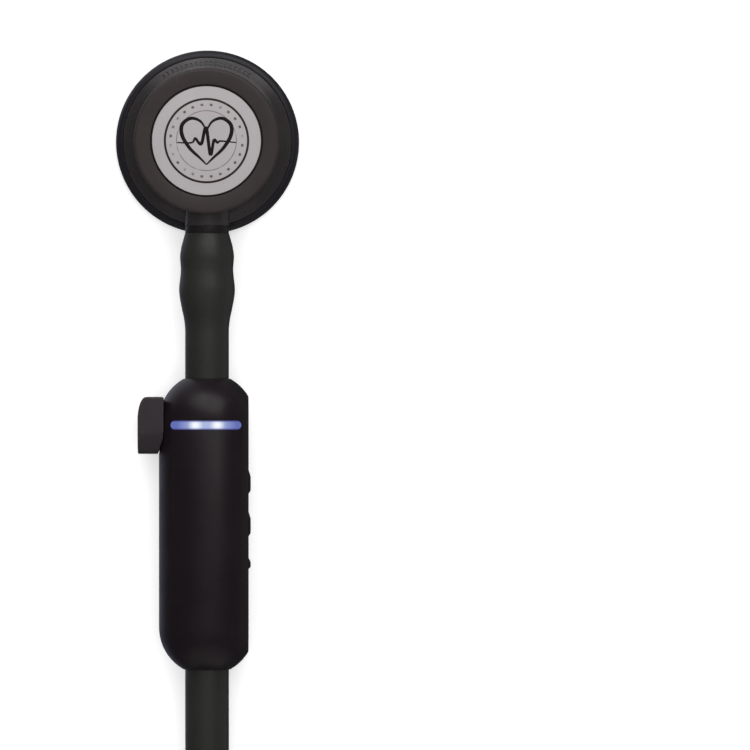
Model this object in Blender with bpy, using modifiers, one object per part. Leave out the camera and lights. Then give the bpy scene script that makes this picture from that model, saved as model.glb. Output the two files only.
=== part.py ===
"""Electronic stethoscope, lying flat with its headset folded back beside the chestpiece.

Run with: blender --background --python part.py

Every size below is in millimetres, and the helpers turn it into metres, +Z up. The origin is the centre
of the large diaphragm's face, which rests on the table. The stem, the chest tube and the electronics
module share one axis, which runs along -Y at AXIS_Z. The headset's own axis is parallel to it at HEADSET_X.
"""

import math

import bmesh
import bpy
from mathutils import Matrix, Vector

MM = 0.001
GAP = 0.3                      # clearance between pieces that touch
CLEAR = 1.0                    # how far a cutter runs past the face that it cuts
WIDE, MEDIUM, NARROW = 36, 20, 16         # sides of a turned piece, by its size

# ---- driving dimensions -------------------------------------------------------------------------
AXIS_Z = 12.3                  # height of the stem, tube and module axis

RIM_RADIUS = 23.5              # large side of the chestpiece
RIM_HEIGHT = 4.4
LARGE_FACE_RADIUS = 20.5
SMALL_RADIUS = 18.6            # small side of the chestpiece
SMALL_FACE_RADIUS = 14.05
HEAD_TOP = 22.6
MEMBRANE = 0.6                 # thickness of either diaphragm
LIP = 0.9                      # thickness of the rim's lip over a diaphragm's flange
FLANGE = 0.5                   # thickness of that flange
FLOAT = 0.4                    # how far a diaphragm can be pressed in
SEAT_DEPTH_IN_RIM = LIP + GAP + FLANGE + FLOAT + GAP
LARGE_SEAT_Z = SEAT_DEPTH_IN_RIM          # the chestpiece body lies between these two heights
SMALL_SEAT_Z = HEAD_TOP - SEAT_DEPTH_IN_RIM
HEAD_PIVOT = (0.0, 0.0, AXIS_Z)

BOSS_RADIUS = 5.3
BOSS_END = -21.5
BORE_RADIUS = 3.9              # the stem turns in this bore
BORE_END = 5.7
PORT_RADIUS = 1.5
JOURNAL = BORE_RADIUS - GAP
GROOVE = 2.5                   # radius at the bottom of the stem's grooves
DETENT_Y = -6.0
O_RING_Y = (-3.2, -11.0)
COLLAR_RADIUS = 5.85
STEM_END = -36.0
STEM_BORE = 1.5

TUBE_RADIUS = 5.55
TUBE_START = -23.9
TUBE_BORE = 2.4

MODULE_RADIUS = 12.3
MODULE_FLAT_X = 10.6
MODULE_WALL = 1.5
MODULE_UPPER = -71.5           # centres of the module's round ends
MODULE_LOWER = -124.4
MODULE_MOUTH = TUBE_RADIUS + GAP
MOUTH_ANGLE = 61.0             # where a round end stops at its mouth, above the centre's plane
INNER_RADIUS = MODULE_RADIUS - MODULE_WALL
INNER_FLAT_X = MODULE_FLAT_X - MODULE_WALL
SEAT_RADIUS = 8.7              # pocket that holds a nozzle's flange
SEAT_OFFSET = 6.5              # from the round end's centre to the pocket's outer face
SEAT_DEPTH = 1.8
NOZZLE_BORE = 1.1
SPIGOT = 1.9
BARB = 2.9
BARB_ROOT = 2.5

WINDOW_Y = -72.6
WINDOW_LEFT, WINDOW_RIGHT = -9.24, 8.88
WINDOW_HALF_HEIGHT = 1.2
LED_X = 2.8

SLIDER_TOP, SLIDER_ROUND_Y = -65.4, -74.0
SLIDER_HALF_WIDTH = 6.0
SLIDER_LEFT = -17.7
SLIDER_TAB_TOP, SLIDER_TAB_BOTTOM = -70.0, -75.0
SLIDER_TRAVEL = 4.5

BUTTON_HALF_WIDTH = 2.5
BUTTON_RISE = 0.56
BUTTONS = {                    # upper end, lower end, length of the upper ramp
    "volume_up": (-84.0, -90.3, 1.8),
    "volume_down": (-94.7, -101.2, 1.8),
    "pairing": (-106.6, -109.5, 1.0),
}
SOCKET_Y, SOCKET_HALF_LENGTH, SOCKET_HALF_HEIGHT = -115.0, 4.2, 1.3

SCREWS = ((-7.4, -84.0), (7.4, -78.9), (-7.4, -121.5), (7.4, -122.5))
SCREW_SHANK, SCREW_HEAD = 0.8, 1.6
FRONT_BOSS, BACK_BOSS = 2.2, 2.7
COUNTERBORE_FLOOR = -5.0

BOARD_LOW, BOARD_HIGH = 1.9, 2.9          # heights from here on are above the module's axis
SWITCH_HALF_HEIGHT = 1.6

# ---- headset --------------------------------------------------------------------------------------
HEADSET_X = -118.0
YOKE_Z = 7.1
YOKE_START = -145.7
YOKE_FORK = -134.0
YOKE_RADIUS = 7.0
ARM_RADIUS = 6.3
ARM_LENGTH = 26.0
ARM_ANGLE = math.radians(22)
LEAF_HALF_HEIGHT, LEAF_THICKNESS = 3.0, 0.8
BRANCH_RADIUS = 5.4
BRANCH_END_RADIUS = 4.9
EAR_TUBE_RADIUS = 3.2
EAR_TUBE_WALL = 0.8
EAR_TUBE_INSERT = 12.0         # length of ear tube inside the branch
TIP_RADIUS = 6.3

# Route of the free tube from the module's mouth, round a U-turn, to the yoke.
HEADSET_TUBE_ROUTE = (
    (0.0, -131.1, 12.3), (0.0, -137.0, 12.3), (0.0, -147.0, 11.8), (0.0, -160.0, 9.9),
    (0.0, -174.0, 7.6), (-4.5, -196.6, 5.9), (-17.3, -215.7, 5.6), (-36.4, -228.5, 5.6),
    (-59.0, -233.0, 5.6), (-81.6, -228.5, 5.6), (-100.7, -215.7, 5.6), (-113.5, -196.6, 5.7),
    (-118.0, -174.0, 6.2), (-118.0, -160.0, 6.9), (-118.0, -152.0, 7.1), (-118.0, -146.0, 7.1),
)
# Routes of one side of the headset, as distances from HEADSET_X.
BRANCH_ROUTE = (
    (16.2, -94.0, 6.8), (22.6, -78.0, 6.0), (29.0, -62.0, 5.6), (34.2, -46.0, 5.5), (37.6, -34.0, 5.5),
)
EAR_TUBE_ROUTE = (
    (34.2, -46.0, 5.5), (37.6, -34.0, 5.5), (43.0, -14.0, 4.6), (47.2, 8.0, 3.8), (49.0, 32.0, 3.6),
    (46.4, 56.0, 3.8), (38.4, 78.0, 4.7), (26.8, 95.0, 6.2), (17.0, 106.0, 7.6),
)

# name: colour, roughness, metallic
FINISHES = {
    "black_enamel": ((0.040, 0.036, 0.037), 0.34, 0.0),
    "rim_black": ((0.036, 0.033, 0.034), 0.45, 0.0),
    "diaphragm_film": ((0.045, 0.040, 0.040), 0.40, 0.0),
    "medallion_film": ((0.42, 0.39, 0.40), 0.45, 0.0),
    "stem_steel": ((0.030, 0.028, 0.029), 0.30, 0.6),
    "bright_steel": ((0.60, 0.60, 0.61), 0.28, 1.0),
    "spring_steel": ((0.45, 0.45, 0.47), 0.35, 1.0),
    "seal_rubber": ((0.02, 0.02, 0.02), 0.70, 0.0),
    "tube_rubber": ((0.030, 0.030, 0.029), 0.45, 0.0),
    "shell_plastic": ((0.018, 0.016, 0.018), 0.38, 0.0),
    "slider_plastic": ((0.045, 0.040, 0.044), 0.45, 0.0),
    "button_rubber": ((0.014, 0.013, 0.014), 0.50, 0.0),
    "window_plastic": ((0.20, 0.26, 0.60), 0.30, 0.0),
    "nozzle_plastic": ((0.10, 0.10, 0.11), 0.50, 0.0),
    "board_green": ((0.02, 0.12, 0.05), 0.50, 0.0),
    "cell_foil": ((0.55, 0.56, 0.58), 0.35, 0.8),
    "ear_steel": ((0.030, 0.028, 0.029), 0.28, 0.6),
    "tip_silicone": ((0.025, 0.025, 0.025), 0.60, 0.0),
}


# ---- scene helpers --------------------------------------------------------------------------------
def empty_scene():
    """Take away whatever the file opened with."""
    for obj in list(bpy.data.objects):
        bpy.data.objects.remove(obj)


def new_collection(name):
    """A new collection in the scene."""
    collection = bpy.data.collections.new(name)
    bpy.context.scene.collection.children.link(collection)
    return collection


def new_finish(name, colour, roughness, metallic):
    """A plain Principled material."""
    material = bpy.data.materials.new(name)
    material.use_nodes = True
    shader = material.node_tree.nodes["Principled BSDF"]
    shader.inputs["Base Color"].default_value = (*colour, 1.0)
    shader.inputs["Roughness"].default_value = roughness
    shader.inputs["Metallic"].default_value = metallic
    return material


def place(obj):
    """Link a new object; it stays a guide until finish_part makes it a part."""
    obj.hide_render = True
    obj.display_type = "WIRE"
    CUTTERS.objects.link(obj)
    return obj


def mesh_object(name, bm):
    """An object of a bmesh that was built in millimetres."""
    bmesh.ops.scale(bm, vec=(MM, MM, MM), verts=bm.verts)
    mesh = bpy.data.meshes.new(name)
    bm.to_mesh(mesh)
    bm.free()
    return place(bpy.data.objects.new(name, mesh))


def turned(name, outline, axis="Z", at=(0.0, 0.0, 0.0), steps=WIDE):
    """Turn an outline of (radius, height) points whose outer side runs from the top down.

    An outline that starts on the axis is open and closes there; any other is a closed ring.
    Axis "Y" lays the heights along +Y.
    """
    points = [(radius * MM, 0.0, height * MM) for radius, height in outline]
    edges = [(index, index + 1) for index in range(len(points) - 1)]
    if outline[0][0] > 0.0:
        edges.append((len(points) - 1, 0))
    mesh = bpy.data.meshes.new(name)
    mesh.from_pydata(points, edges, [])
    obj = place(bpy.data.objects.new(name, mesh))
    screw = obj.modifiers.new("Turn", "SCREW")
    screw.steps = steps
    screw.render_steps = steps
    screw.use_merge_vertices = True
    screw.merge_threshold = 0.00001
    obj.location = Vector(at) * MM
    if axis == "Y":
        obj.rotation_euler.x = -math.pi / 2
    return obj


def box(name, low, high):
    """A box between two corners."""
    bm = bmesh.new()
    bmesh.ops.create_cube(bm, size=1.0)
    size = [upper - lower for lower, upper in zip(low, high)]
    bmesh.ops.scale(bm, vec=size, verts=bm.verts)
    middle = (Vector(low) + Vector(high)) / 2
    bmesh.ops.translate(bm, vec=middle, verts=bm.verts)
    return mesh_object(name, bm)


def rod(name, start, end, radius, sides=20, end_radius=None):
    """A round bar or cone between two points."""
    run = Vector(end) - Vector(start)
    bm = bmesh.new()
    bmesh.ops.create_cone(bm, cap_ends=True, segments=sides, radius1=radius,
                          radius2=radius if end_radius is None else end_radius, depth=run.length)
    turn = run.to_track_quat("Z", "Y").to_matrix().to_4x4()
    centre = (Vector(start) + Vector(end)) / 2
    bmesh.ops.transform(bm, matrix=Matrix.Translation(centre) @ turn, verts=bm.verts)
    return mesh_object(name, bm)


def prism(name, outline, low, high, normal="Z"):
    """Extrude a flat outline from low to high along its normal.

    The outline holds (x, y) points for a normal of Z, and (y, z) points for a normal of X.
    """
    bm = bmesh.new()
    corners = [bm.verts.new((first, second, low)) for first, second in outline]
    face = bm.faces.new(corners)
    grown = bmesh.ops.extrude_face_region(bm, geom=[face])
    top = [item for item in grown["geom"] if isinstance(item, bmesh.types.BMVert)]
    bmesh.ops.translate(bm, vec=(0.0, 0.0, high - low), verts=top)
    bmesh.ops.recalc_face_normals(bm, faces=bm.faces)
    if normal == "X":
        cycle = Matrix(((0, 0, 1, 0), (1, 0, 0, 0), (0, 1, 0, 0), (0, 0, 0, 1)))
        bmesh.ops.transform(bm, matrix=cycle, verts=bm.verts)
    return mesh_object(name, bm)


def arc(centre, radii, start, end, count):
    """Points of an elliptical arc, from one angle in degrees to another."""
    points = []
    for index in range(count + 1):
        angle = math.radians(start + (end - start) * index / count)
        points.append((centre[0] + radii[0] * math.cos(angle), centre[1] + radii[1] * math.sin(angle)))
    return points


def stadium(left, right, middle, half_height, count=8):
    """Outline of a slot with round ends that runs along X."""
    radii = (half_height, half_height)
    right_end = arc((right - half_height, middle), radii, -90, 90, count)
    left_end = arc((left + half_height, middle), radii, 90, 270, count)
    return right_end + left_end


def smooth_route(points, per_span):
    """Points along the Catmull-Rom curve through a route."""
    route = [Vector(point) for point in points]
    ends = [2 * route[0] - route[1]] + route + [2 * route[-1] - route[-2]]
    result = []
    for before, start, end, after in zip(ends, ends[1:], ends[2:], ends[3:]):
        for step in range(per_span):
            t = step / per_span
            blend = (2 * start + (end - before) * t + (2 * before - 5 * start + 4 * end - after) * t ** 2
                     + (3 * start - before - 3 * end + after) * t ** 3)
            result.append(blend / 2)
    return result + [route[-1]]


def tube(name, points, radii, resolution=2, wall=None):
    """A round tube along points, solid with flat ends, or with an open bore where a wall is given."""
    curve = bpy.data.curves.new(name, "CURVE")
    curve.dimensions = "3D"
    curve.bevel_depth = MM
    curve.bevel_resolution = resolution
    curve.use_fill_caps = wall is None
    spline = curve.splines.new("POLY")
    spline.points.add(len(points) - 1)
    for knot, point, radius in zip(spline.points, points, radii):
        knot.co = (*(Vector(point) * MM), 1.0)
        knot.radius = radius
    obj = place(bpy.data.objects.new(name, curve))
    if wall is not None:
        skin = obj.modifiers.new("Wall", "SOLIDIFY")
        skin.thickness = wall * MM
        skin.offset = -1.0
    return obj


def as_mesh(obj):
    """Replace a curve object by a mesh object of its evaluated shape, with its caps welded."""
    bpy.context.view_layer.update()
    evaluated = obj.evaluated_get(bpy.context.evaluated_depsgraph_get())
    mesh = bpy.data.meshes.new_from_object(evaluated)
    bm = bmesh.new()
    bm.from_mesh(mesh)
    bmesh.ops.remove_doubles(bm, verts=bm.verts, dist=0.001 * MM)
    bmesh.ops.recalc_face_normals(bm, faces=bm.faces)
    bm.to_mesh(mesh)
    bm.free()
    name, place_in_world = obj.name, obj.matrix_world.copy()
    bpy.data.objects.remove(obj)
    solid = place(bpy.data.objects.new(name, mesh))
    solid.matrix_world = place_in_world
    return solid


def combine(obj, operation, *others):
    """Boolean one object with others, in order."""
    for other in others:
        modifier = obj.modifiers.new(operation.title(), "BOOLEAN")
        modifier.operation = operation
        modifier.object = other
    return obj


def finish_part(obj, finish, origin=None):
    """Apply a part's modifiers, mark its sharp edges, give it its finish and its own origin."""
    bpy.context.view_layer.update()
    evaluated = obj.evaluated_get(bpy.context.evaluated_depsgraph_get())
    mesh = bpy.data.meshes.new_from_object(evaluated)
    mesh.transform(obj.matrix_world)
    name = obj.name
    bpy.data.objects.remove(obj)
    pivot = Vector(origin or (0.0, 0.0, 0.0)) * MM
    mesh.transform(Matrix.Translation(-pivot))
    mesh.materials.clear()
    mesh.materials.append(MATERIALS[finish])
    mesh.shade_smooth()
    mesh.set_sharp_from_angle(angle=math.radians(35))
    mesh.name = name
    part = bpy.data.objects.new(name, mesh)
    part.location = pivot
    PARTS.objects.link(part)
    return part


def on_axis(x, y, height):
    """A point given by its height above the module's axis."""
    return (x, y, AXIS_Z + height)


# ---- chestpiece -----------------------------------------------------------------------------------
def chestpiece():
    """The turned head with a shallow bell on each side, a boss for the stem, and its sound ports."""
    outline = [
        (0.0, 17.4), (2.5, 17.4), (13.4, 19.9), (13.4, SMALL_SEAT_Z), (17.6, SMALL_SEAT_Z), (17.6, 18.7),
        (18.2, 18.7),
        (18.2, 18.2), (16.6, 16.9), (13.2, 15.4), (11.7, 13.6), (11.5, AXIS_Z), (11.9, 10.7), (14.0, 8.9),
        (18.6, 7.0), (22.0, 4.9), (22.6, 4.2), (22.6, LARGE_SEAT_Z), (20.0, LARGE_SEAT_Z), (19.8, 2.7),
        (2.5, 5.6), (0.0, 5.6),
    ]
    body = turned("chestpiece_body", outline)
    boss = rod("boss", (0, -8.0, AXIS_Z), (0, BOSS_END, AXIS_Z), BOSS_RADIUS, 32)
    bore = rod("stem_bore", (0, BOSS_END - CLEAR, AXIS_Z), (0, BORE_END, AXIS_Z), BORE_RADIUS, 32)
    ports = rod("ports", (0, 0, 3.0), (0, 0, 20.0), PORT_RADIUS, 16)
    cross = rod("detent_hole", (-14.0, DETENT_Y, AXIS_Z), (14.0, DETENT_Y, AXIS_Z), 1.4, 16)
    combine(body, "UNION", boss)
    combine(body, "DIFFERENCE", bore, ports, cross)
    finish_part(body, "black_enamel", origin=HEAD_PIVOT)

    outline = [(0, 9.4), (1.1, 9.4), (1.1, 4.4), (0.8, 4.2), (0.8, 2.8), (0, 2.8)]
    retainer = turned("stem_retaining_screw", outline, steps=12)
    retainer.rotation_euler.y = math.pi / 2
    retainer.location = Vector((0, DETENT_Y, AXIS_Z)) * MM
    finish_part(retainer, "bright_steel", origin=HEAD_PIVOT)
    plug = rod("detent_plug", (-7.7, DETENT_Y, AXIS_Z), (-9.4, DETENT_Y, AXIS_Z), 1.1, 12)
    finish_part(plug, "bright_steel", origin=HEAD_PIVOT)
    ball = bmesh.new()
    bmesh.ops.create_uvsphere(ball, u_segments=8, v_segments=6, radius=1.0)
    bmesh.ops.translate(ball, vec=(-3.8, DETENT_Y, AXIS_Z), verts=ball.verts)
    finish_part(mesh_object("detent_ball", ball), "bright_steel", origin=HEAD_PIVOT)
    turns, per_turn = 3, 6
    coil = []
    for step in range(turns * per_turn + 1):
        angle = math.tau * step / per_turn
        along = -5.2 - 2.0 * step / (turns * per_turn)
        coil.append((along, DETENT_Y + 0.8 * math.cos(angle), AXIS_Z + 0.8 * math.sin(angle)))
    spring = as_mesh(tube("detent_spring", coil, [0.18] * len(coil), resolution=0))
    finish_part(spring, "spring_steel", origin=HEAD_PIVOT)


def large_side():
    """The rim that snaps on the large side, and the diaphragm that floats under its lip."""
    inner = LARGE_FACE_RADIUS + GAP
    flange_radius = LARGE_FACE_RADIUS + 1.4
    rim = turned("large_rim_ring", [
        (RIM_RADIUS - 0.4, RIM_HEIGHT), (RIM_RADIUS, RIM_HEIGHT - 0.4), (RIM_RADIUS, 0.5),
        (RIM_RADIUS - 0.5, 0.0),
        (inner, 0.0), (inner, LIP), (flange_radius + GAP, LIP), (flange_radius + GAP, LARGE_SEAT_Z - GAP),
        (22.9, LARGE_SEAT_Z - GAP), (22.9, RIM_HEIGHT),
    ])
    finish_part(rim, "rim_black", origin=HEAD_PIVOT)
    flange_low = LIP + GAP
    flange_high = flange_low + FLANGE
    membrane = turned("large_diaphragm", [
        (0.0, MEMBRANE), (LARGE_FACE_RADIUS - 0.9, MEMBRANE), (LARGE_FACE_RADIUS - 0.6, flange_high),
        (flange_radius, flange_high), (flange_radius, flange_low), (LARGE_FACE_RADIUS, flange_low),
        (LARGE_FACE_RADIUS, 0.0), (0.0, 0.0),
    ])
    finish_part(membrane, "diaphragm_film")


def small_side():
    """The rim and the floating diaphragm of the small side."""
    inner = SMALL_FACE_RADIUS + GAP
    flange_radius = SMALL_FACE_RADIUS + 1.55
    rim = turned("small_rim_ring", [
        (SMALL_RADIUS - 0.3, HEAD_TOP), (SMALL_RADIUS, HEAD_TOP - 0.3), (SMALL_RADIUS, 19.0), (17.9, 19.0),
        (17.9, SMALL_SEAT_Z + GAP), (flange_radius + GAP, SMALL_SEAT_Z + GAP),
        (flange_radius + GAP, HEAD_TOP - LIP),
        (inner, HEAD_TOP - LIP), (inner, HEAD_TOP),
    ])
    finish_part(rim, "rim_black", origin=HEAD_PIVOT)
    flange_high = HEAD_TOP - LIP - GAP
    flange_low = flange_high - FLANGE
    membrane = turned("small_diaphragm", [
        (0.0, HEAD_TOP), (SMALL_FACE_RADIUS, HEAD_TOP), (SMALL_FACE_RADIUS, flange_high),
        (flange_radius, flange_high), (flange_radius, flange_low), (SMALL_FACE_RADIUS - 0.6, flange_low),
        (SMALL_FACE_RADIUS - 0.9, HEAD_TOP - MEMBRANE), (0.0, HEAD_TOP - MEMBRANE),
    ])
    finish_part(membrane, "medallion_film")


def stem():
    """The hollow stem: grooved journal, collar and hose barb, with a port that faces one bell."""
    outline = [(0.0, BORE_END - GAP), (JOURNAL - 0.4, BORE_END - GAP), (JOURNAL, BORE_END - GAP - 0.4)]
    for middle, half_width in ((O_RING_Y[0], 0.8), (DETENT_Y, 1.2), (O_RING_Y[1], 0.8)):
        outline += [(JOURNAL, middle + half_width), (GROOVE, middle + half_width),
                    (GROOVE, middle - half_width), (JOURNAL, middle - half_width)]
    outline += [(JOURNAL, BOSS_END - GAP), (COLLAR_RADIUS - 0.35, BOSS_END - GAP),
                (COLLAR_RADIUS, BOSS_END - GAP - 0.35), (COLLAR_RADIUS, TUBE_START + GAP + 0.3),
                (COLLAR_RADIUS - 0.3, TUBE_START + GAP), (3.4, TUBE_START + GAP)]
    for ridge in (-29.0, -31.5, -34.0):
        outline += [(3.4, ridge), (2.9, ridge - 0.1)]
    outline += [(2.6, STEM_END), (0.0, STEM_END)]
    body = turned("stem", outline, axis="Y", at=(0, 0, AXIS_Z), steps=MEDIUM)
    bore = rod("stem_passage", (0, STEM_END - CLEAR, AXIS_Z), (0, 1.5, AXIS_Z), STEM_BORE, 16)
    port = rod("stem_port", (0, 0, AXIS_Z), (0, 0, AXIS_Z - JOURNAL - CLEAR), STEM_BORE - 0.2, 12)
    combine(body, "DIFFERENCE", bore, port)
    finish_part(body, "stem_steel")
    for name, middle in zip(("stem_o_ring_inner", "stem_o_ring_outer"), O_RING_Y):
        section = [(radius, middle + height) for radius, height in arc((3.2, 0.0), (0.4, 0.4), 90, -210, 5)]
        finish_part(turned(name, section, axis="Y", at=(0, 0, AXIS_Z), steps=NARROW), "seal_rubber")


def chest_tube():
    """The short tube with a moulded, twice-swelled end over the stem, hollow all the way."""
    outline = [
        (5.75, TUBE_START), (6.05, -24.6), (6.55, -26.6), (6.85, -29.1), (6.75, -31.2), (6.65, -33.0),
        (6.85, -35.2), (7.1, -37.6), (6.95, -39.8), (6.4, -42.8), (5.85, -45.4), (TUBE_RADIUS, -47.5),
        (TUBE_RADIUS, -64.6), (BARB + GAP, -64.6), (BARB + GAP, -53.7), (TUBE_BORE, -53.2),
        (TUBE_BORE, STEM_END - 1.0), (3.7, STEM_END - 0.5), (3.7, TUBE_START),
    ]
    finish_part(turned("chest_tube", outline, axis="Y", at=(0, 0, AXIS_Z), steps=MEDIUM), "tube_rubber")


# ---- module ---------------------------------------------------------------------------------------
def round_end(centre, radius, start, end):
    """Part of the module's domed end, as (radius, y) points; angles are above the centre's plane."""
    return arc((0.0, centre), (radius, radius), start, end, 4)


def capsule(name, flat_x, outline):
    """A turned body on the module's axis with its right side cut flat."""
    body = turned(name, outline, axis="Y", at=(0, 0, AXIS_Z))
    low = on_axis(flat_x, MODULE_LOWER - 20, -20)
    high = on_axis(flat_x + 20, MODULE_UPPER + 20, 20)
    return combine(body, "DIFFERENCE", box(name + "_flat", low, high))


def module_outside(name):
    """The module's outer form: a cylinder with round ends and one flat side."""
    outline = round_end(MODULE_UPPER, MODULE_RADIUS, MOUTH_ANGLE, 0)
    outline += round_end(MODULE_LOWER, MODULE_RADIUS, 0, -MOUTH_ANGLE)
    return capsule(name, MODULE_FLAT_X, [(0.0, outline[0][1])] + outline + [(0.0, outline[-1][1])])


def module_cavity(name, boss_radius):
    """The space inside the module, less the screw bosses, with a pocket for a nozzle at each end."""
    upper, lower = MODULE_UPPER + SEAT_OFFSET, MODULE_LOWER - SEAT_OFFSET
    tilt = math.degrees(math.asin((SEAT_OFFSET - SEAT_DEPTH) / INNER_RADIUS))
    outline = [(0.0, upper), (SEAT_RADIUS, upper), (SEAT_RADIUS, upper - SEAT_DEPTH)]
    outline += round_end(MODULE_UPPER, INNER_RADIUS, tilt, 0)
    outline += round_end(MODULE_LOWER, INNER_RADIUS, 0, -tilt)
    outline += [(SEAT_RADIUS, lower + SEAT_DEPTH), (SEAT_RADIUS, lower), (0.0, lower)]
    cavity = capsule(name, INNER_FLAT_X, outline)
    for index, (x, y) in enumerate(SCREWS):
        boss = rod(f"{name}_boss_{index}", on_axis(x, y, -20), on_axis(x, y, 20), boss_radius, 20)
        combine(cavity, "DIFFERENCE", boss)
    return cavity


def socket_outline(grow):
    """The charging socket's outline on the flat side, as (y, z) points, grown all round."""
    half_length = SOCKET_HALF_LENGTH + grow
    outline = stadium(-half_length, half_length, 0.0, SOCKET_HALF_HEIGHT + grow)
    return [(SOCKET_Y + y, AXIS_Z + z) for y, z in outline]


def side_openings():
    """Cutters for what passes through the module's wall on its parting plane."""
    through = MODULE_FLAT_X + CLEAR
    cutters = []
    for name, (upper, lower, _) in BUTTONS.items():
        half = BUTTON_HALF_WIDTH + GAP
        low, high = on_axis(7.7, lower - GAP, -half), on_axis(through, upper + GAP, half)
        cutters.append(box(name + "_opening", low, high))
    cutters.append(prism("socket_opening", socket_outline(GAP), 8.5, through, normal="X"))
    slot_low = SLIDER_TAB_BOTTOM - SLIDER_TRAVEL - GAP
    cutters.append(box("slider_slot", on_axis(-MODULE_RADIUS - CLEAR, slot_low, -1.8),
                       on_axis(-9.5, SLIDER_TAB_TOP + GAP, 1.8)))
    for name, centre, way in (("upper_mouth", MODULE_UPPER, 1), ("lower_mouth", MODULE_LOWER, -1)):
        outside = on_axis(0, centre + way * (MODULE_RADIUS + CLEAR), 0)
        inside = on_axis(0, centre + way * (SEAT_OFFSET - CLEAR), 0)
        cutters.append(rod(name, outside, inside, MODULE_MOUTH, WIDE))
    return cutters


def module_shells():
    """Front and back shells that part on the plane through the axis, held by screws from behind."""
    reach = 40.0
    halves = {
        "module_front_shell": (FRONT_BOSS, GAP / 2, reach),
        "module_back_shell": (BACK_BOSS, -reach, -GAP / 2),
    }
    openings = side_openings()
    for name, (boss_radius, low, high) in halves.items():
        shell = module_outside(name)
        corners = on_axis(-reach, MODULE_LOWER - reach, low), on_axis(reach, MODULE_UPPER + reach, high)
        half = box(name + "_half", *corners)
        combine(shell, "DIFFERENCE", module_cavity(name + "_cavity", boss_radius))
        combine(shell, "INTERSECT", half)
        combine(shell, "DIFFERENCE", *openings)
        for index, (x, y) in enumerate(SCREWS):
            hole = rod(f"{name}_hole_{index}", on_axis(x, y, COUNTERBORE_FLOOR - CLEAR), on_axis(x, y, 5.0),
                       SCREW_SHANK + GAP, 12)
            combine(shell, "DIFFERENCE", hole)
            if name == "module_back_shell":
                head = rod(f"{name}_counterbore_{index}", on_axis(x, y, -14),
                           on_axis(x, y, COUNTERBORE_FLOOR), SCREW_HEAD + GAP, 16)
                combine(shell, "DIFFERENCE", head)
        if name == "module_front_shell":
            slot = stadium(WINDOW_LEFT, WINDOW_RIGHT, WINDOW_Y, WINDOW_HALF_HEIGHT)
            combine(shell, "DIFFERENCE", prism("window_slot", slot, AXIS_Z + 4, AXIS_Z + 14))
        finish_part(shell, "shell_plastic")
    for index, (x, y) in enumerate(SCREWS, start=1):
        head_top = COUNTERBORE_FLOOR - GAP
        outline = [(0, 4.5), (SCREW_SHANK, 4.5), (SCREW_SHANK, head_top), (SCREW_HEAD, head_top),
                   (SCREW_HEAD, head_top - 1.3), (0.7, head_top - 1.3), (0.7, head_top - 0.6),
                   (0, head_top - 0.6)]
        screw = turned(f"shell_screw_{index}", outline, at=(x, y, AXIS_Z), steps=10)
        finish_part(screw, "bright_steel")


def nozzles():
    """The upper nozzle with its hose barb, and the lower one that faces the headset tube."""
    seat = MODULE_UPPER + SEAT_OFFSET - GAP
    barbs = []
    for ridge in (-56.0, -59.5):
        barbs += [(BARB, ridge), (BARB_ROOT, ridge - 0.2), (BARB_ROOT, ridge - 1.5)]
    upper = [(2.3, -54.0)] + barbs + [
        (BARB_ROOT, seat), (SEAT_RADIUS - GAP, seat), (SEAT_RADIUS - GAP, seat - 1.2), (SPIGOT, seat - 1.2),
        (SPIGOT, seat - 4.3), (NOZZLE_BORE, seat - 4.3), (NOZZLE_BORE, -54.0),
    ]
    finish_part(turned("upper_nozzle", upper, axis="Y", at=(0, 0, AXIS_Z), steps=NARROW), "nozzle_plastic")
    seat = MODULE_LOWER - SEAT_OFFSET + GAP
    lower = [
        (SPIGOT, seat + 4.0), (SPIGOT, seat + 1.2), (SEAT_RADIUS - GAP, seat + 1.2),
        (SEAT_RADIUS - GAP, seat), (NOZZLE_BORE, seat), (NOZZLE_BORE, seat + 4.0),
    ]
    finish_part(turned("lower_nozzle", lower, axis="Y", at=(0, 0, AXIS_Z), steps=NARROW), "nozzle_plastic")


def transducers():
    """The microphone that hears the chest tube, the speaker that plays into the headset, and their boots."""
    hole = SPIGOT + GAP
    mic_boot = [(3.4, -67.2), (3.4, -76.2), (2.8, -76.2), (2.8, -70.4), (hole, -70.1), (hole, -67.2)]
    boot = turned("microphone_boot", mic_boot, axis="Y", at=(0, 0, AXIS_Z), steps=NARROW)
    finish_part(boot, "seal_rubber")
    finish_part(rod("microphone", on_axis(0, -70.7, 0), on_axis(0, -74.2, 0), 2.5, NARROW), "bright_steel")
    speaker_boot = [(4.4, -119.9), (4.4, -127.6), (hole, -127.6), (hole, -124.3), (3.9, -124.1),
                    (3.9, -119.9)]
    boot = turned("speaker_boot", speaker_boot, axis="Y", at=(0, 0, AXIS_Z), steps=NARROW)
    finish_part(boot, "seal_rubber")
    finish_part(rod("speaker", on_axis(0, -120.3, 0), on_axis(0, -123.7, 0), 3.6, NARROW), "bright_steel")


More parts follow.
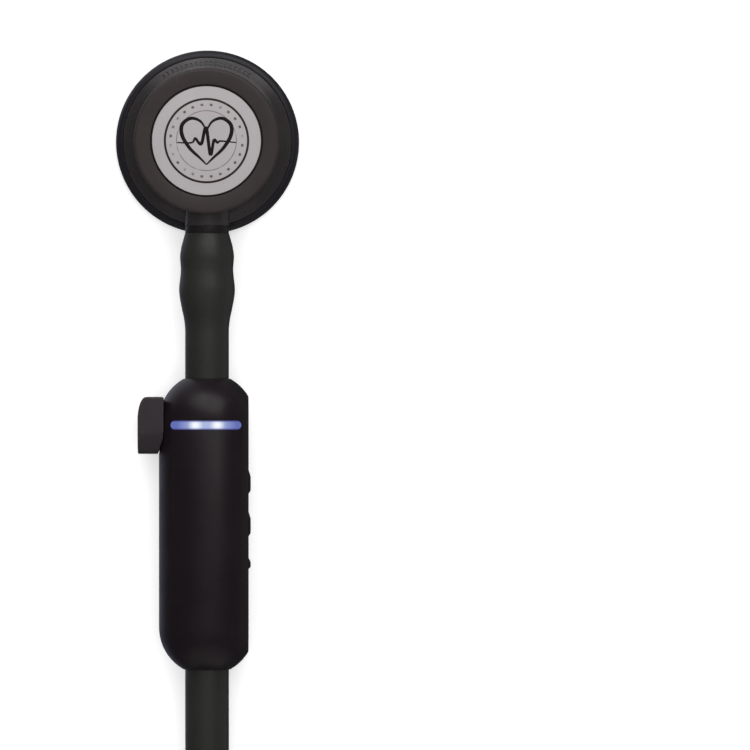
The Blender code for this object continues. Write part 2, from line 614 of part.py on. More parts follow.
def light_bar():
    """The lit window in the front shell, and the small board with the lamps behind it."""
    inset = WINDOW_HALF_HEIGHT - GAP
    low, high = AXIS_Z + 4, AXIS_Z + 14
    outline = stadium(WINDOW_LEFT + GAP, WINDOW_RIGHT - GAP, WINDOW_Y, inset)
    window = prism("light_window", outline, low, high)
    ends = ((0, WINDOW_Y - 4, AXIS_Z), (0, WINDOW_Y + 4, AXIS_Z))
    combine(window, "INTERSECT", rod("window_outside", *ends, MODULE_RADIUS, 48))
    outline = stadium(WINDOW_LEFT - 0.7, INNER_FLAT_X - GAP, WINDOW_Y, 1.9)
    flange = prism("window_flange", outline, low, high)
    combine(flange, "INTERSECT", rod("flange_outside", *ends, INNER_RADIUS - GAP, 48))
    combine(window, "UNION", flange)
    combine(window, "DIFFERENCE", rod("window_inside", *ends, INNER_RADIUS - GAP - 0.6, 48))
    finish_part(window, "window_plastic")
    finish_part(box("light_board", on_axis(-5.0, -75.2, 6.0), on_axis(5.0, -70.0, 6.6)), "board_green")
    for name, x in (("status_led_left", -LED_X), ("status_led_right", LED_X)):
        finish_part(box(name, on_axis(x - 0.8, WINDOW_Y - 0.5, 6.9), on_axis(x + 0.8, WINDOW_Y + 0.5, 7.9)),
                    "window_plastic")


def electronics():
    """Main board with a side arm, its switches, the charging socket and the cell."""
    board = [(-4.8, -118.6), (4.8, -118.6), (4.8, -78.0), (-4.0, -78.0), (-4.0, -69.8), (-6.8, -69.8),
             (-6.8, -80.5), (-4.8, -80.5)]
    finish_part(prism("main_board", board, AXIS_Z + BOARD_LOW, AXIS_Z + BOARD_HIGH), "board_green")
    finish_part(box("battery", on_axis(-4.4, -116.0, -6.5), on_axis(4.4, -80.0, -2.0)), "cell_foil")
    low, high = -SWITCH_HALF_HEIGHT, SWITCH_HALF_HEIGHT
    finish_part(box("slide_switch", on_axis(-6.8, -79.5, low), on_axis(-4.2, -69.8, high)), "nozzle_plastic")
    for name, (upper, lower, _) in BUTTONS.items():
        middle = (upper + lower) / 2
        switch = box(name + "_switch", on_axis(3.4, middle - 1.8, low), on_axis(7.0, middle + 1.8, high))
        plunger = rod(name + "_plunger", on_axis(6.5, middle, 0), on_axis(7.6, middle, 0), 0.8, 12)
        combine(switch, "UNION", plunger)
        finish_part(switch, "nozzle_plastic")
    wall = 0.4
    socket = prism("charging_socket", socket_outline(0.0), 2.4, 10.0, normal="X")
    tongue = box("socket_tongue", on_axis(2.6, SOCKET_Y - 2.6, -0.3), on_axis(9.2, SOCKET_Y + 2.6, 0.3))
    combine(socket, "DIFFERENCE", prism("socket_mouth", socket_outline(-wall), 4.0, 11.0, normal="X"))
    combine(socket, "UNION", tongue)
    finish_part(socket, "bright_steel")


def buttons():
    """Soft keys on the flat side: a long ramp at the upper end, a short one at the lower end."""
    flange_x = INNER_FLAT_X - GAP
    face_x = MODULE_FLAT_X + BUTTON_RISE
    for name, (upper, lower, ramp) in BUTTONS.items():
        outline = [
            (flange_x - 0.5, upper + 0.8), (flange_x - 0.5, lower - 0.8), (flange_x, lower - 0.8),
            (flange_x, lower), (MODULE_FLAT_X, lower), (face_x, lower + ramp / 2), (face_x, upper - ramp),
            (MODULE_FLAT_X, upper), (flange_x, upper), (flange_x, upper + 0.8),
        ]
        low, high = AXIS_Z - BUTTON_HALF_WIDTH, AXIS_Z + BUTTON_HALF_WIDTH
        finish_part(prism(name + "_button", outline, low, high), "button_rubber",
                    origin=on_axis(MODULE_FLAT_X, (upper + lower) / 2, 0))


def power_slider():
    """The sliding switch on the left side, which carries the switch's lever through the slot."""
    half = SLIDER_HALF_WIDTH
    bottom = SLIDER_ROUND_Y - half
    ramp = arc((-15.6, SLIDER_TOP - 5.9), (2.1, 5.9), 90, 180, 6)
    knob = prism("power_slider", [(-9.0, SLIDER_TOP)] + ramp + [(SLIDER_LEFT, bottom), (-9.0, bottom)],
                 AXIS_Z - half, AXIS_Z + half)
    side = [(SLIDER_TOP + CLEAR, AXIS_Z + half), (SLIDER_TOP + CLEAR, AXIS_Z - half)]
    side += arc((SLIDER_ROUND_Y, AXIS_Z), (half, half), 270, 90, 14)
    combine(knob, "INTERSECT", prism("slider_side", side, SLIDER_LEFT - CLEAR, -8.0, normal="X"))
    hollow = rod("slider_hollow", on_axis(0, SLIDER_TOP + 5, 0), on_axis(0, bottom - 5, 0),
                 MODULE_RADIUS + GAP, 64)
    combine(knob, "DIFFERENCE", hollow)
    tab = box("slider_tab", on_axis(-14.0, SLIDER_TAB_BOTTOM, -1.5), on_axis(-9.4, SLIDER_TAB_TOP, 1.5))
    foot = box("slider_foot", on_axis(-10.0, SLIDER_TAB_BOTTOM + 0.4, -2.8),
               on_axis(-8.8, SLIDER_TAB_TOP - 0.4, 2.8))
    combine(knob, "UNION", tab, foot)
    middle = (SLIDER_TAB_TOP + SLIDER_TAB_BOTTOM) / 2
    finish_part(knob, "slider_plastic", origin=on_axis(-MODULE_RADIUS, middle, 0))
    lever = box("slide_switch_lever", on_axis(-8.5, middle - 1.0, -1.0), on_axis(-7.1, middle + 1.0, 1.0))
    finish_part(lever, "nozzle_plastic", origin=on_axis(-MODULE_RADIUS, middle, 0))


# ---- headset --------------------------------------------------------------------------------------
def along_arm(side, distance):
    """A point on one arm's centre line, measured from the fork."""
    across, forward = math.sin(ARM_ANGLE), math.cos(ARM_ANGLE)
    return Vector((HEADSET_X + side * distance * across, YOKE_FORK + distance * forward, YOKE_Z))


def leaf_outline(half_thickness, reach):
    """V-shaped outline of the leaf spring, or of its slot, seen from above."""
    across = Vector((math.cos(ARM_ANGLE), -math.sin(ARM_ANGLE), 0.0)) * half_thickness
    right = along_arm(1, reach)
    left = along_arm(-1, reach)
    mirror = Vector((-across.x, across.y, 0.0))
    drop = half_thickness / math.sin(ARM_ANGLE)
    fork = Vector((HEADSET_X, YOKE_FORK, 0.0))
    corners = [fork - Vector((0, drop, 0)), right + across, right - across, fork + Vector((0, drop, 0)),
               left - mirror, left + mirror]
    return [(corner.x, corner.y) for corner in corners]


def yoke():
    """The moulded Y where the tube divides, with the leaf spring let into it."""
    yoke_body = rod("yoke", (HEADSET_X, YOKE_START, YOKE_Z), (HEADSET_X, YOKE_FORK + 3, YOKE_Z),
                    YOKE_RADIUS - 0.6, MEDIUM, end_radius=YOKE_RADIUS)
    ball = bmesh.new()
    bmesh.ops.create_uvsphere(ball, u_segments=MEDIUM, v_segments=10, radius=YOKE_RADIUS)
    bmesh.ops.translate(ball, vec=(HEADSET_X, YOKE_FORK + 3, YOKE_Z), verts=ball.verts)
    combine(yoke_body, "UNION", mesh_object("yoke_heart", ball))
    for side in (-1, 1):
        arm = rod(f"yoke_arm_{side}", along_arm(side, 0), along_arm(side, ARM_LENGTH), YOKE_RADIUS - 0.2,
                  MEDIUM, end_radius=ARM_RADIUS)
        combine(yoke_body, "UNION", arm)
    low, high = YOKE_Z - LEAF_HALF_HEIGHT, YOKE_Z + LEAF_HALF_HEIGHT
    slot = prism("leaf_slot", leaf_outline(LEAF_THICKNESS / 2 + GAP, ARM_LENGTH + 2), low - GAP, high + GAP)
    combine(yoke_body, "DIFFERENCE", slot)
    finish_part(yoke_body, "tube_rubber")
    finish_part(prism("yoke_leaf_spring", leaf_outline(LEAF_THICKNESS / 2, ARM_LENGTH - 0.5), low, high),
                "spring_steel")


def ear_side(name, side):
    """One side of the headset: branch tube, ear tube, threaded ferrule and ear tip."""
    def mirrored(route):
        return [Vector((HEADSET_X + side * x, y, z)) for x, y, z in route]

    pivot = along_arm(side, ARM_LENGTH + GAP + BRANCH_RADIUS)
    points, radii = [], []
    for angle in (math.radians(12), math.radians(40), math.radians(66)):
        points.append(along_arm(side, ARM_LENGTH + GAP + BRANCH_RADIUS * (1 - math.cos(angle))))
        radii.append(BRANCH_RADIUS * math.sin(angle))
    run = smooth_route([pivot] + mirrored(BRANCH_ROUTE), 3)
    for index, point in enumerate(run):
        points.append(point)
        radii.append(BRANCH_RADIUS + (BRANCH_END_RADIUS - BRANCH_RADIUS) * index / (len(run) - 1))
    branch = as_mesh(tube(f"{name}_branch_tube", points, radii))
    ear_run = smooth_route(mirrored(EAR_TUBE_ROUTE), 2)
    into = run[-1] + (run[-2] - run[-1]).normalized() * EAR_TUBE_INSERT
    out = run[-1] + (run[-1] - run[-2]).normalized() * CLEAR
    combine(branch, "DIFFERENCE", rod(f"{name}_branch_bore", into, out, EAR_TUBE_RADIUS + 2 * GAP, 20))
    finish_part(branch, "tube_rubber", origin=pivot)
    ear_run = ear_run[1:]
    pipe = tube(f"{name}_ear_tube", ear_run, [EAR_TUBE_RADIUS] * len(ear_run), wall=EAR_TUBE_WALL)
    finish_part(as_mesh(pipe), "ear_steel", origin=pivot)
    end = ear_run[-1]
    heading = (ear_run[-1] - ear_run[-2]).normalized()
    turn = heading.to_track_quat("Z", "Y").to_euler()
    bore = EAR_TUBE_RADIUS - EAR_TUBE_WALL
    outline = [(2.9, 5.5), (2.9, GAP), (bore, GAP), (bore, 5.5)]
    ferrule = turned(f"{name}_tip_ferrule", outline, at=end, steps=NARROW)
    ferrule.rotation_euler = turn
    finish_part(ferrule, "bright_steel", origin=pivot)
    tip = [(2.6, 11.5), (3.8, 11.1), (5.0, 9.8), (5.9, 7.8), (TIP_RADIUS, 5.6), (6.1, 3.6), (5.2, 2.2),
           (3.6, 1.4), (3.6, GAP), (3.2, GAP), (3.2, 5.8), (2.1, 6.0), (2.1, 11.5)]
    cap = turned(f"{name}_ear_tip", tip, at=end, steps=NARROW)
    cap.rotation_euler = turn
    finish_part(cap, "tip_silicone", origin=pivot)


def headset():
    """Free tube, yoke and both ear sides."""
    route = smooth_route(HEADSET_TUBE_ROUTE, 2)
    finish_part(as_mesh(tube("headset_tube", route, [TUBE_RADIUS] * len(route))), "tube_rubber")
    yoke()
    ear_side("left", -1)
    ear_side("right", 1)


def main():
    """Build the stethoscope, sub-assembly by sub-assembly."""
    chestpiece()
    large_side()
    small_side()
    stem()
    chest_tube()
    module_shells()
    nozzles()
    transducers()
    light_bar()
    electronics()
    buttons()
    power_slider()
    headset()
    for obj in list(CUTTERS.objects):
        bpy.data.objects.remove(obj)


empty_scene()
PARTS = new_collection("stethoscope")
CUTTERS = new_collection("cutters")
MATERIALS = {name: new_finish(name, *values) for name, values in FINISHES.items()}
main()
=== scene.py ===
"""Looks of an electronic stethoscope: chestpiece, short tube, module, free tube and headset.

Every class below holds its sizes in millimetres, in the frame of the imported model: the large
diaphragm's face rests on the table at the origin, +Z is up, and the stem, the chest tube and the
module share one axis along -Y. A mesh is shaped in millimetres and becomes metres when it is
placed.
"""

import logging
import math
from dataclasses import dataclass, field
from enum import Enum

import bmesh
import bpy
from mathutils import Matrix, Vector

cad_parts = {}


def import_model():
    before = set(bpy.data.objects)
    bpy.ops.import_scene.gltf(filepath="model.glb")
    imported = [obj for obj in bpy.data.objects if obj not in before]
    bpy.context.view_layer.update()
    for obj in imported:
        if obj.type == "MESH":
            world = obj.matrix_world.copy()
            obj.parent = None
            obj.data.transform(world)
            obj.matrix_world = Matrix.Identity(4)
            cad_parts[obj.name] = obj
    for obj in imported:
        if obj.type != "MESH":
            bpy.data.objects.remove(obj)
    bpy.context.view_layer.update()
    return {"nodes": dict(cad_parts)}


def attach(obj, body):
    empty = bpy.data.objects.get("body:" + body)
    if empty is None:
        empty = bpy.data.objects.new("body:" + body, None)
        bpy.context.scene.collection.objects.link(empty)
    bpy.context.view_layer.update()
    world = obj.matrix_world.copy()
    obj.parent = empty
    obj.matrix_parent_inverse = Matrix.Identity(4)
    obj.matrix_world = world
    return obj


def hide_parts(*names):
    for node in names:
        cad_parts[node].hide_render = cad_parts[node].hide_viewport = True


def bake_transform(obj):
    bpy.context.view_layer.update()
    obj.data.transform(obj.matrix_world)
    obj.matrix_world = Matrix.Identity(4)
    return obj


LOG = logging.getLogger("stethoscope")
MM = 0.001
AXIS_Z = 12.3                      # height of the axis of the stem, chest tube and module
ON_AXIS = (0.0, 0.0, AXIS_Z)

Colour = tuple[float, float, float]
Profile = tuple[tuple[float, ...], ...]


class Lie(Enum):
    """Which way a turned piece's own axis points."""

    UP = "up"
    ALONG = "along the stem"


class Cut(Enum):
    """What a tool does to the piece that it meets."""

    REMOVE = "DIFFERENCE"
    KEEP = "INTERSECT"
    JOIN = "UNION"


class Pattern(Enum):
    """What is worked or printed into a finish, beside its grain."""

    PLAIN = "plain"
    TURNED = "fine rings left by a lathe"
    DRAWN = "fine lines along the piece"


# ---- shaping --------------------------------------------------------------------------------
def of_kind(items: list, kind: type) -> list:
    """Give those of an operator's results that are of one kind."""
    return [item for item in items if isinstance(item, kind)]


def borders(faces: list) -> list:
    """Give the edges of some faces, each once and always in the same order."""
    return list(dict.fromkeys(edge for face in faces for edge in face.edges))


def rounded(bm: bmesh.types.BMesh, edges: list, radius: float, segments: int = 3) -> None:
    """Round edges over.

    Args:
        bm: the mesh.
        edges: its edges to round.
        radius: how far the rounding reaches from each edge.
        segments: faces across the rounding.
    """
    bmesh.ops.bevel(bm, geom=edges, offset=radius, offset_type="OFFSET", affect="EDGES",
                    segments=segments, profile=0.5, material=-1, clamp_overlap=True)


def sharp(bm: bmesh.types.BMesh, above: float = 40.0) -> list:
    """Find the edges that turn by more than an angle.

    Args:
        bm: the mesh.
        above: the angle in degrees.

    Returns:
        The edges.
    """
    limit = math.radians(above)
    return [edge for edge in bm.edges
            if len(edge.link_faces) == 2 and edge.calc_face_angle(0.0) > limit]


def laid(lie: Lie, centre: tuple) -> Matrix:
    """Give the matrix that lays a piece from its own axis to its place.

    Args:
        lie: which way its axis points.
        centre: where its own origin goes.

    Returns:
        The matrix.
    """
    turn = Matrix.Identity(4) if lie is Lie.UP else Matrix.Rotation(-math.pi / 2, 4, "X")
    return Matrix.Translation(centre) @ turn


def turned(profile: Profile, steps: int = 96, lie: Lie = Lie.UP,
           centre: tuple = (0.0, 0.0, 0.0)) -> bmesh.types.BMesh:
    """Spin a profile round its axis, and round the corners that name a fillet.

    Args:
        profile: (radius, height) or (radius, height, fillet) points. One that starts on the axis
            closes there, and any other is joined end to start into a ring.
        steps: sides of the turned piece.
        lie: which way its axis points.
        centre: where its own origin goes.

    Returns:
        The mesh.
    """
    bm = bmesh.new()
    knots = [bm.verts.new((point[0], 0.0, point[1])) for point in profile]
    lines = [bm.edges.new(pair) for pair in zip(knots, knots[1:])]
    if profile[0][0] > 0.0:
        lines.append(bm.edges.new((knots[-1], knots[0])))
    bmesh.ops.spin(bm, geom=knots + lines, cent=(0.0, 0.0, 0.0), axis=(0.0, 0.0, 1.0),
                   angle=math.tau, steps=steps, use_merge=True)
    bmesh.ops.remove_doubles(bm, verts=bm.verts, dist=1e-4)
    bmesh.ops.recalc_face_normals(bm, faces=bm.faces)
    for fillet in sorted({point[2] for point in profile if len(point) > 2}, reverse=True):
        rings = {(round(point[0], 3), round(point[1], 3))
                 for point in profile if len(point) > 2 and point[2] == fillet}
        edges = [edge for edge in bm.edges
                 if all((round(math.hypot(vert.co.x, vert.co.y), 3), round(vert.co.z, 3)) in rings
                        for vert in edge.verts)
                 and abs(edge.verts[0].co.z - edge.verts[1].co.z) < 1e-4]
        rounded(bm, edges, fillet)
    bmesh.ops.transform(bm, matrix=laid(lie, centre), verts=bm.verts)
    return bm


def block(low: tuple, high: tuple, round_off: float = 0.0) -> bmesh.types.BMesh:
    """Make a block between two corners, with its edges rounded over.

    Args:
        low: lowest corner.
        high: highest corner.
        round_off: radius of its edges.

    Returns:
        The mesh.
    """
    bm = bmesh.new()
    bmesh.ops.create_cube(bm, size=1.0)
    bmesh.ops.scale(bm, vec=Vector(high) - Vector(low), verts=bm.verts)
    bmesh.ops.translate(bm, vec=(Vector(low) + Vector(high)) / 2, verts=bm.verts)
    if round_off:
        rounded(bm, list(bm.edges), round_off, 2)
    return bm


def slot_block(low: tuple, high: tuple, along: int, round_off: float = 0.0) -> bmesh.types.BMesh:
    """Make a block whose outline seen along one axis is a slot with round ends.

    Args:
        low: lowest corner.
        high: highest corner.
        along: the axis that its round edges run along, 0, 1 or 2.
        round_off: radius of the edges of its two faces.

    Returns:
        The mesh.
    """
    bm = block(low, high)
    across = [high[axis] - low[axis] for axis in range(3) if axis != along]
    edges = [edge for edge in bm.edges
             if abs((edge.verts[0].co - edge.verts[1].co)[along]) > 1e-6]
    rounded(bm, edges, min(across) / 2 - 0.001, 12)
    bmesh.ops.remove_doubles(bm, verts=bm.verts, dist=0.004)
    if round_off:
        faces = [face for face in bm.faces if abs(face.normal[along]) > 0.9]
        rounded(bm, borders(faces), round_off, 2)
    return bm


def bar(start: tuple, end: tuple, radius: float, end_radius: float | None = None,
        sides: int = 48) -> bmesh.types.BMesh:
    """Make a round bar or cone between two points.

    Args:
        start: centre of its first end.
        end: centre of its other end.
        radius: its radius at the start.
        end_radius: its radius at the end, if it tapers.
        sides: number of sides.

    Returns:
        The mesh.
    """
    run = Vector(end) - Vector(start)
    bm = bmesh.new()
    bmesh.ops.create_cone(bm, cap_ends=True, segments=sides, radius1=radius,
                          radius2=radius if end_radius is None else end_radius, depth=run.length)
    turn = run.to_track_quat("Z", "Y").to_matrix().to_4x4()
    place = Matrix.Translation((Vector(start) + Vector(end)) / 2) @ turn
    bmesh.ops.transform(bm, matrix=place, verts=bm.verts)
    return bm


def plate(outline: list, low: float, high: float, normal: str = "Z") -> bmesh.types.BMesh:
    """Raise a flat outline into a plate.

    Args:
        outline: (x, y) points for a normal of Z, and (y, z) points for a normal of X.
        low: where it starts along its normal.
        high: where it ends.
        normal: "Z" or "X".

    Returns:
        The mesh.
    """
    bm = bmesh.new()
    face = bm.faces.new([bm.verts.new((first, second, low)) for first, second in outline])
    grown = bmesh.ops.extrude_face_region(bm, geom=[face])["geom"]
    top = of_kind(grown, bmesh.types.BMVert)
    bmesh.ops.translate(bm, vec=(0.0, 0.0, high - low), verts=top)
    bmesh.ops.recalc_face_normals(bm, faces=bm.faces)
    if normal == "X":
        cycle = Matrix(((0, 0, 1, 0), (1, 0, 0, 0), (0, 1, 0, 0), (0, 0, 0, 1)))
        bmesh.ops.transform(bm, matrix=cycle, verts=bm.verts)
    return bm


def arc(centre: tuple, radii: tuple, start: float, end: float, count: int) -> list:
    """Give points of an elliptical arc.

    Args:
        centre: its centre.
        radii: its two radii.
        start: first angle in degrees.
        end: last angle.
        count: spans between the points.

    Returns:
        The points.
    """
    angles = (math.radians(start + (end - start) * index / count) for index in range(count + 1))
    return [(centre[0] + radii[0] * math.cos(angle), centre[1] + radii[1] * math.sin(angle))
            for angle in angles]


def smooth_route(points: list, per_span: int) -> list:
    """Give points along the Catmull-Rom curve through a route.

    Args:
        points: the route, in two or three dimensions.
        per_span: points from one of its points to the next.

    Returns:
        The points as vectors.
    """
    route = [Vector(point) for point in points]
    ends = [2 * route[0] - route[1]] + route + [2 * route[-1] - route[-2]]
    result = []
    for before, start, end, after in zip(ends, ends[1:], ends[2:], ends[3:]):
        for step in range(per_span):
            t = step / per_span
            result.append((2 * start + (end - before) * t
                           + (2 * before - 5 * start + 4 * end - after) * t ** 2
                           + (3 * start - before - 3 * end + after) * t ** 3) / 2)
    return result + [route[-1]]


def smooth_profile(points: Profile) -> Profile:
    """Give a profile that runs smoothly through a few (radius, height) points."""
    return tuple((max(point.x, 0.0), point.y) for point in smooth_route(points, 4))


def dome(centre: float, radius: float, start: float, end: float) -> list:
    """Give part of a round end as (radius, height) points, by its angles above its middle."""
    return arc((0.0, centre), (radius, radius), start, end, 14)


@dataclass(frozen=True)
class Station:
    """One ring of a swept tube."""

    point: Vector
    heading: Vector
    radius: float


def stations(points: list, radii: list) -> list:
    """Set a ring at each point of a route, square to the route there.

    Args:
        points: the route.
        radii: the radius at each point.

    Returns:
        The stations.
    """
    before = [points[0]] + points[:-1]
    after = points[1:] + [points[-1]]
    return [Station(point, (ahead - behind).normalized(), radius)
            for behind, point, ahead, radius in zip(before, points, after, radii)]


def stepped_back(end: Vector, heading: Vector, steps: tuple) -> list:
    """Set rings at a tube's end, which shape its lip and turn in to its bore.

    Args:
        end: where the tube ends.
        heading: the direction that it runs in there.
        steps: (distance back from the end, radius) of each ring.

    Returns:
        The stations.
    """
    return [Station(end - heading * back, heading, radius) for back, radius in steps]


def swept(rings: list, sides: int, seam: float = 0.0) -> bmesh.types.BMesh:
    """Sweep a round section through its stations, and close both ends.

    Args:
        rings: the stations.
        sides: number of sides.
        seam: height of the mould's parting line, along both sides of the tube.

    Returns:
        The mesh, with the distance from its start in metres as the attribute "along".
    """
    bm = bmesh.new()
    along = bm.verts.layers.float.new("along")
    turn = rings[0].heading.to_track_quat("Z", "Y")
    place = Matrix.Translation(rings[0].point) @ turn.to_matrix().to_4x4()
    loop = bmesh.ops.create_circle(bm, cap_ends=False, segments=sides, radius=1.0)["verts"]
    if seam:
        for vert in loop:
            if abs(vert.co.y) < 1e-4:
                vert.co *= 1.0 + seam / rings[0].radius
    bmesh.ops.transform(bm, matrix=place @ Matrix.Scale(rings[0].radius, 4), verts=loop)
    edges = list(dict.fromkeys(edge for vert in loop for edge in vert.link_edges))
    travelled = 0.0
    for last, ring in zip(rings, rings[1:]):
        travelled += (ring.point - last.point).length * MM
        grown = bmesh.ops.extrude_edge_only(bm, edges=edges)["geom"]
        verts = of_kind(grown, bmesh.types.BMVert)
        edges = of_kind(grown, bmesh.types.BMEdge)
        turn = last.heading.rotation_difference(ring.heading) @ turn
        fresh = Matrix.Translation(ring.point) @ turn.to_matrix().to_4x4()
        step = fresh @ Matrix.Scale(ring.radius / last.radius, 4) @ place.inverted()
        bmesh.ops.transform(bm, matrix=step, verts=verts)
        place = fresh
        for vert in verts:
            vert[along] = travelled
    bmesh.ops.holes_fill(bm, edges=[edge for edge in bm.edges if edge.is_boundary], sides=0)
    bmesh.ops.recalc_face_normals(bm, faces=bm.faces)
    return bm


def as_object(bm: bmesh.types.BMesh, name: str = "bench") -> bpy.types.Object:
    """Turn a mesh into an object of the scene, by default one that stays on the bench.

    Args:
        bm: the mesh, which is used up.
        name: the name of the object and of its mesh.

    Returns:
        The object.
    """
    mesh = bpy.data.meshes.new(name)
    bm.to_mesh(mesh)
    bm.free()
    obj = bpy.data.objects.new(name, mesh)
    bpy.context.scene.collection.objects.link(obj)
    return obj


def taken_off(bench: list) -> bmesh.types.BMesh:
    """Take the first bench object's finished shape, and clear the bench.

    Args:
        bench: the object with its modifiers, then the tools that they use.

    Returns:
        The mesh.
    """
    bpy.context.view_layer.update()
    evaluated = bench[0].evaluated_get(bpy.context.evaluated_depsgraph_get())
    mesh = bpy.data.meshes.new_from_object(evaluated)
    bm = bmesh.new()
    bm.from_mesh(mesh)
    bpy.data.meshes.remove(mesh)
    for obj in bench:
        old = obj.data
        bpy.data.objects.remove(obj)
        bpy.data.meshes.remove(old)
    return bm


def worked(base: bmesh.types.BMesh, *tools: tuple) -> bmesh.types.BMesh:
    """Cut or join a mesh with others, in order.

    Args:
        base: the mesh to work on.
        tools: (cut, mesh) pairs.

    Returns:
        The worked mesh.
    """
    bench = [as_object(base)]
    for cut, tool in tools:
        bench.append(as_object(tool))
        modifier = bench[0].modifiers.new(cut.name, "BOOLEAN")
        modifier.operation = cut.value
        modifier.solver = "EXACT"
        modifier.object = bench[-1]
    bm = taken_off(bench)
    bmesh.ops.remove_doubles(bm, verts=bm.verts, dist=1e-4)
    bmesh.ops.dissolve_degenerate(bm, edges=bm.edges, dist=1e-4)
    return bm


def fused(parts: list, voxel: float, passes: int) -> bmesh.types.BMesh:
    """Melt overlapping solids into one moulded body with soft inner corners.

    Args:
        parts: the solids.
        voxel: size of its faces.
        passes: how often it is smoothed.

    Returns:
        The mesh.
    """
    obj = as_object(merged(parts))
    remesh = obj.modifiers.new("Melt", "REMESH")
    remesh.mode = "VOXEL"
    remesh.voxel_size = voxel
    bm = taken_off([obj])
    for _ in range(passes):
        bmesh.ops.smooth_vert(bm, verts=bm.verts, factor=0.5, use_axis_x=True, use_axis_y=True,
                              use_axis_z=True)
    return bm


def merged(parts: list) -> bmesh.types.BMesh:
    """Put several meshes into one, without changing them.

    Args:
        parts: the meshes, which are used up.

    Returns:
        The mesh.
    """
    base = parts[0]
    for part in parts[1:]:
        mesh = bpy.data.meshes.new("bench")
        part.to_mesh(mesh)
        part.free()
        base.from_mesh(mesh)
        bpy.data.meshes.remove(mesh)
    return base


def mark_wear(bm: bmesh.types.BMesh, full: float = 1.4) -> None:
    """Store how sharply the surface curves outwards at each vertex, as the attribute "edge_wear".

    Args:
        bm: the mesh, in millimetres.
        full: the curvature per millimetre that wears fully.
    """
    layer = bm.verts.layers.float.new("edge_wear")
    bm.normal_update()
    for vert in bm.verts:
        area = sum(face.calc_area() / len(face.verts) for face in vert.link_faces)
        turn = sum(edge.calc_face_angle_signed(0.0) * edge.calc_length()
                   for edge in vert.link_edges if len(edge.link_faces) == 2)
        vert[layer] = min(max(turn / (4.0 * max(area, 1e-4)) / full, 0.0), 1.0)


@dataclass(frozen=True)
class Place:
    """Where a finished piece belongs."""

    name: str
    slot: str
    body: str
    stands_for: tuple = ()
    crease: float = 35.0             # degrees past which an edge is shaded sharp
    softened: float = 0.0            # radius of its sharp edges, if they are rounded over


def placed(bm: bmesh.types.BMesh, place: Place, material: bpy.types.Material,
           across: tuple | None = None) -> bpy.types.Object:
    """Turn a shaped mesh into a finished piece of the object.

    Args:
        bm: the mesh, in millimetres.
        place: the piece's name, slot, body and the nodes that it stands for.
        material: its finish.
        across: when given, the piece is kept where it stands and attached to no body; the other
            body and the two points in millimetres that it holds are not read.

    Returns:
        The piece.
    """
    if place.softened:
        rounded(bm, sharp(bm), place.softened, 2)
    mark_wear(bm)
    bmesh.ops.scale(bm, vec=(MM, MM, MM), verts=bm.verts)
    piece = as_object(bm, place.name)
    mesh = piece.data
    mesh.materials.clear()
    mesh.materials.append(material)
    mesh.shade_smooth()
    mesh.set_sharp_from_angle(angle=math.radians(place.crease))
    if across is None:
        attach(piece, place.body)
    else:
        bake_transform(piece)
    if place.stands_for:
        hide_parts(*place.stands_for)
    LOG.info("%s: %d faces, rides on %s", place.name, len(mesh.polygons), place.body)
    return piece


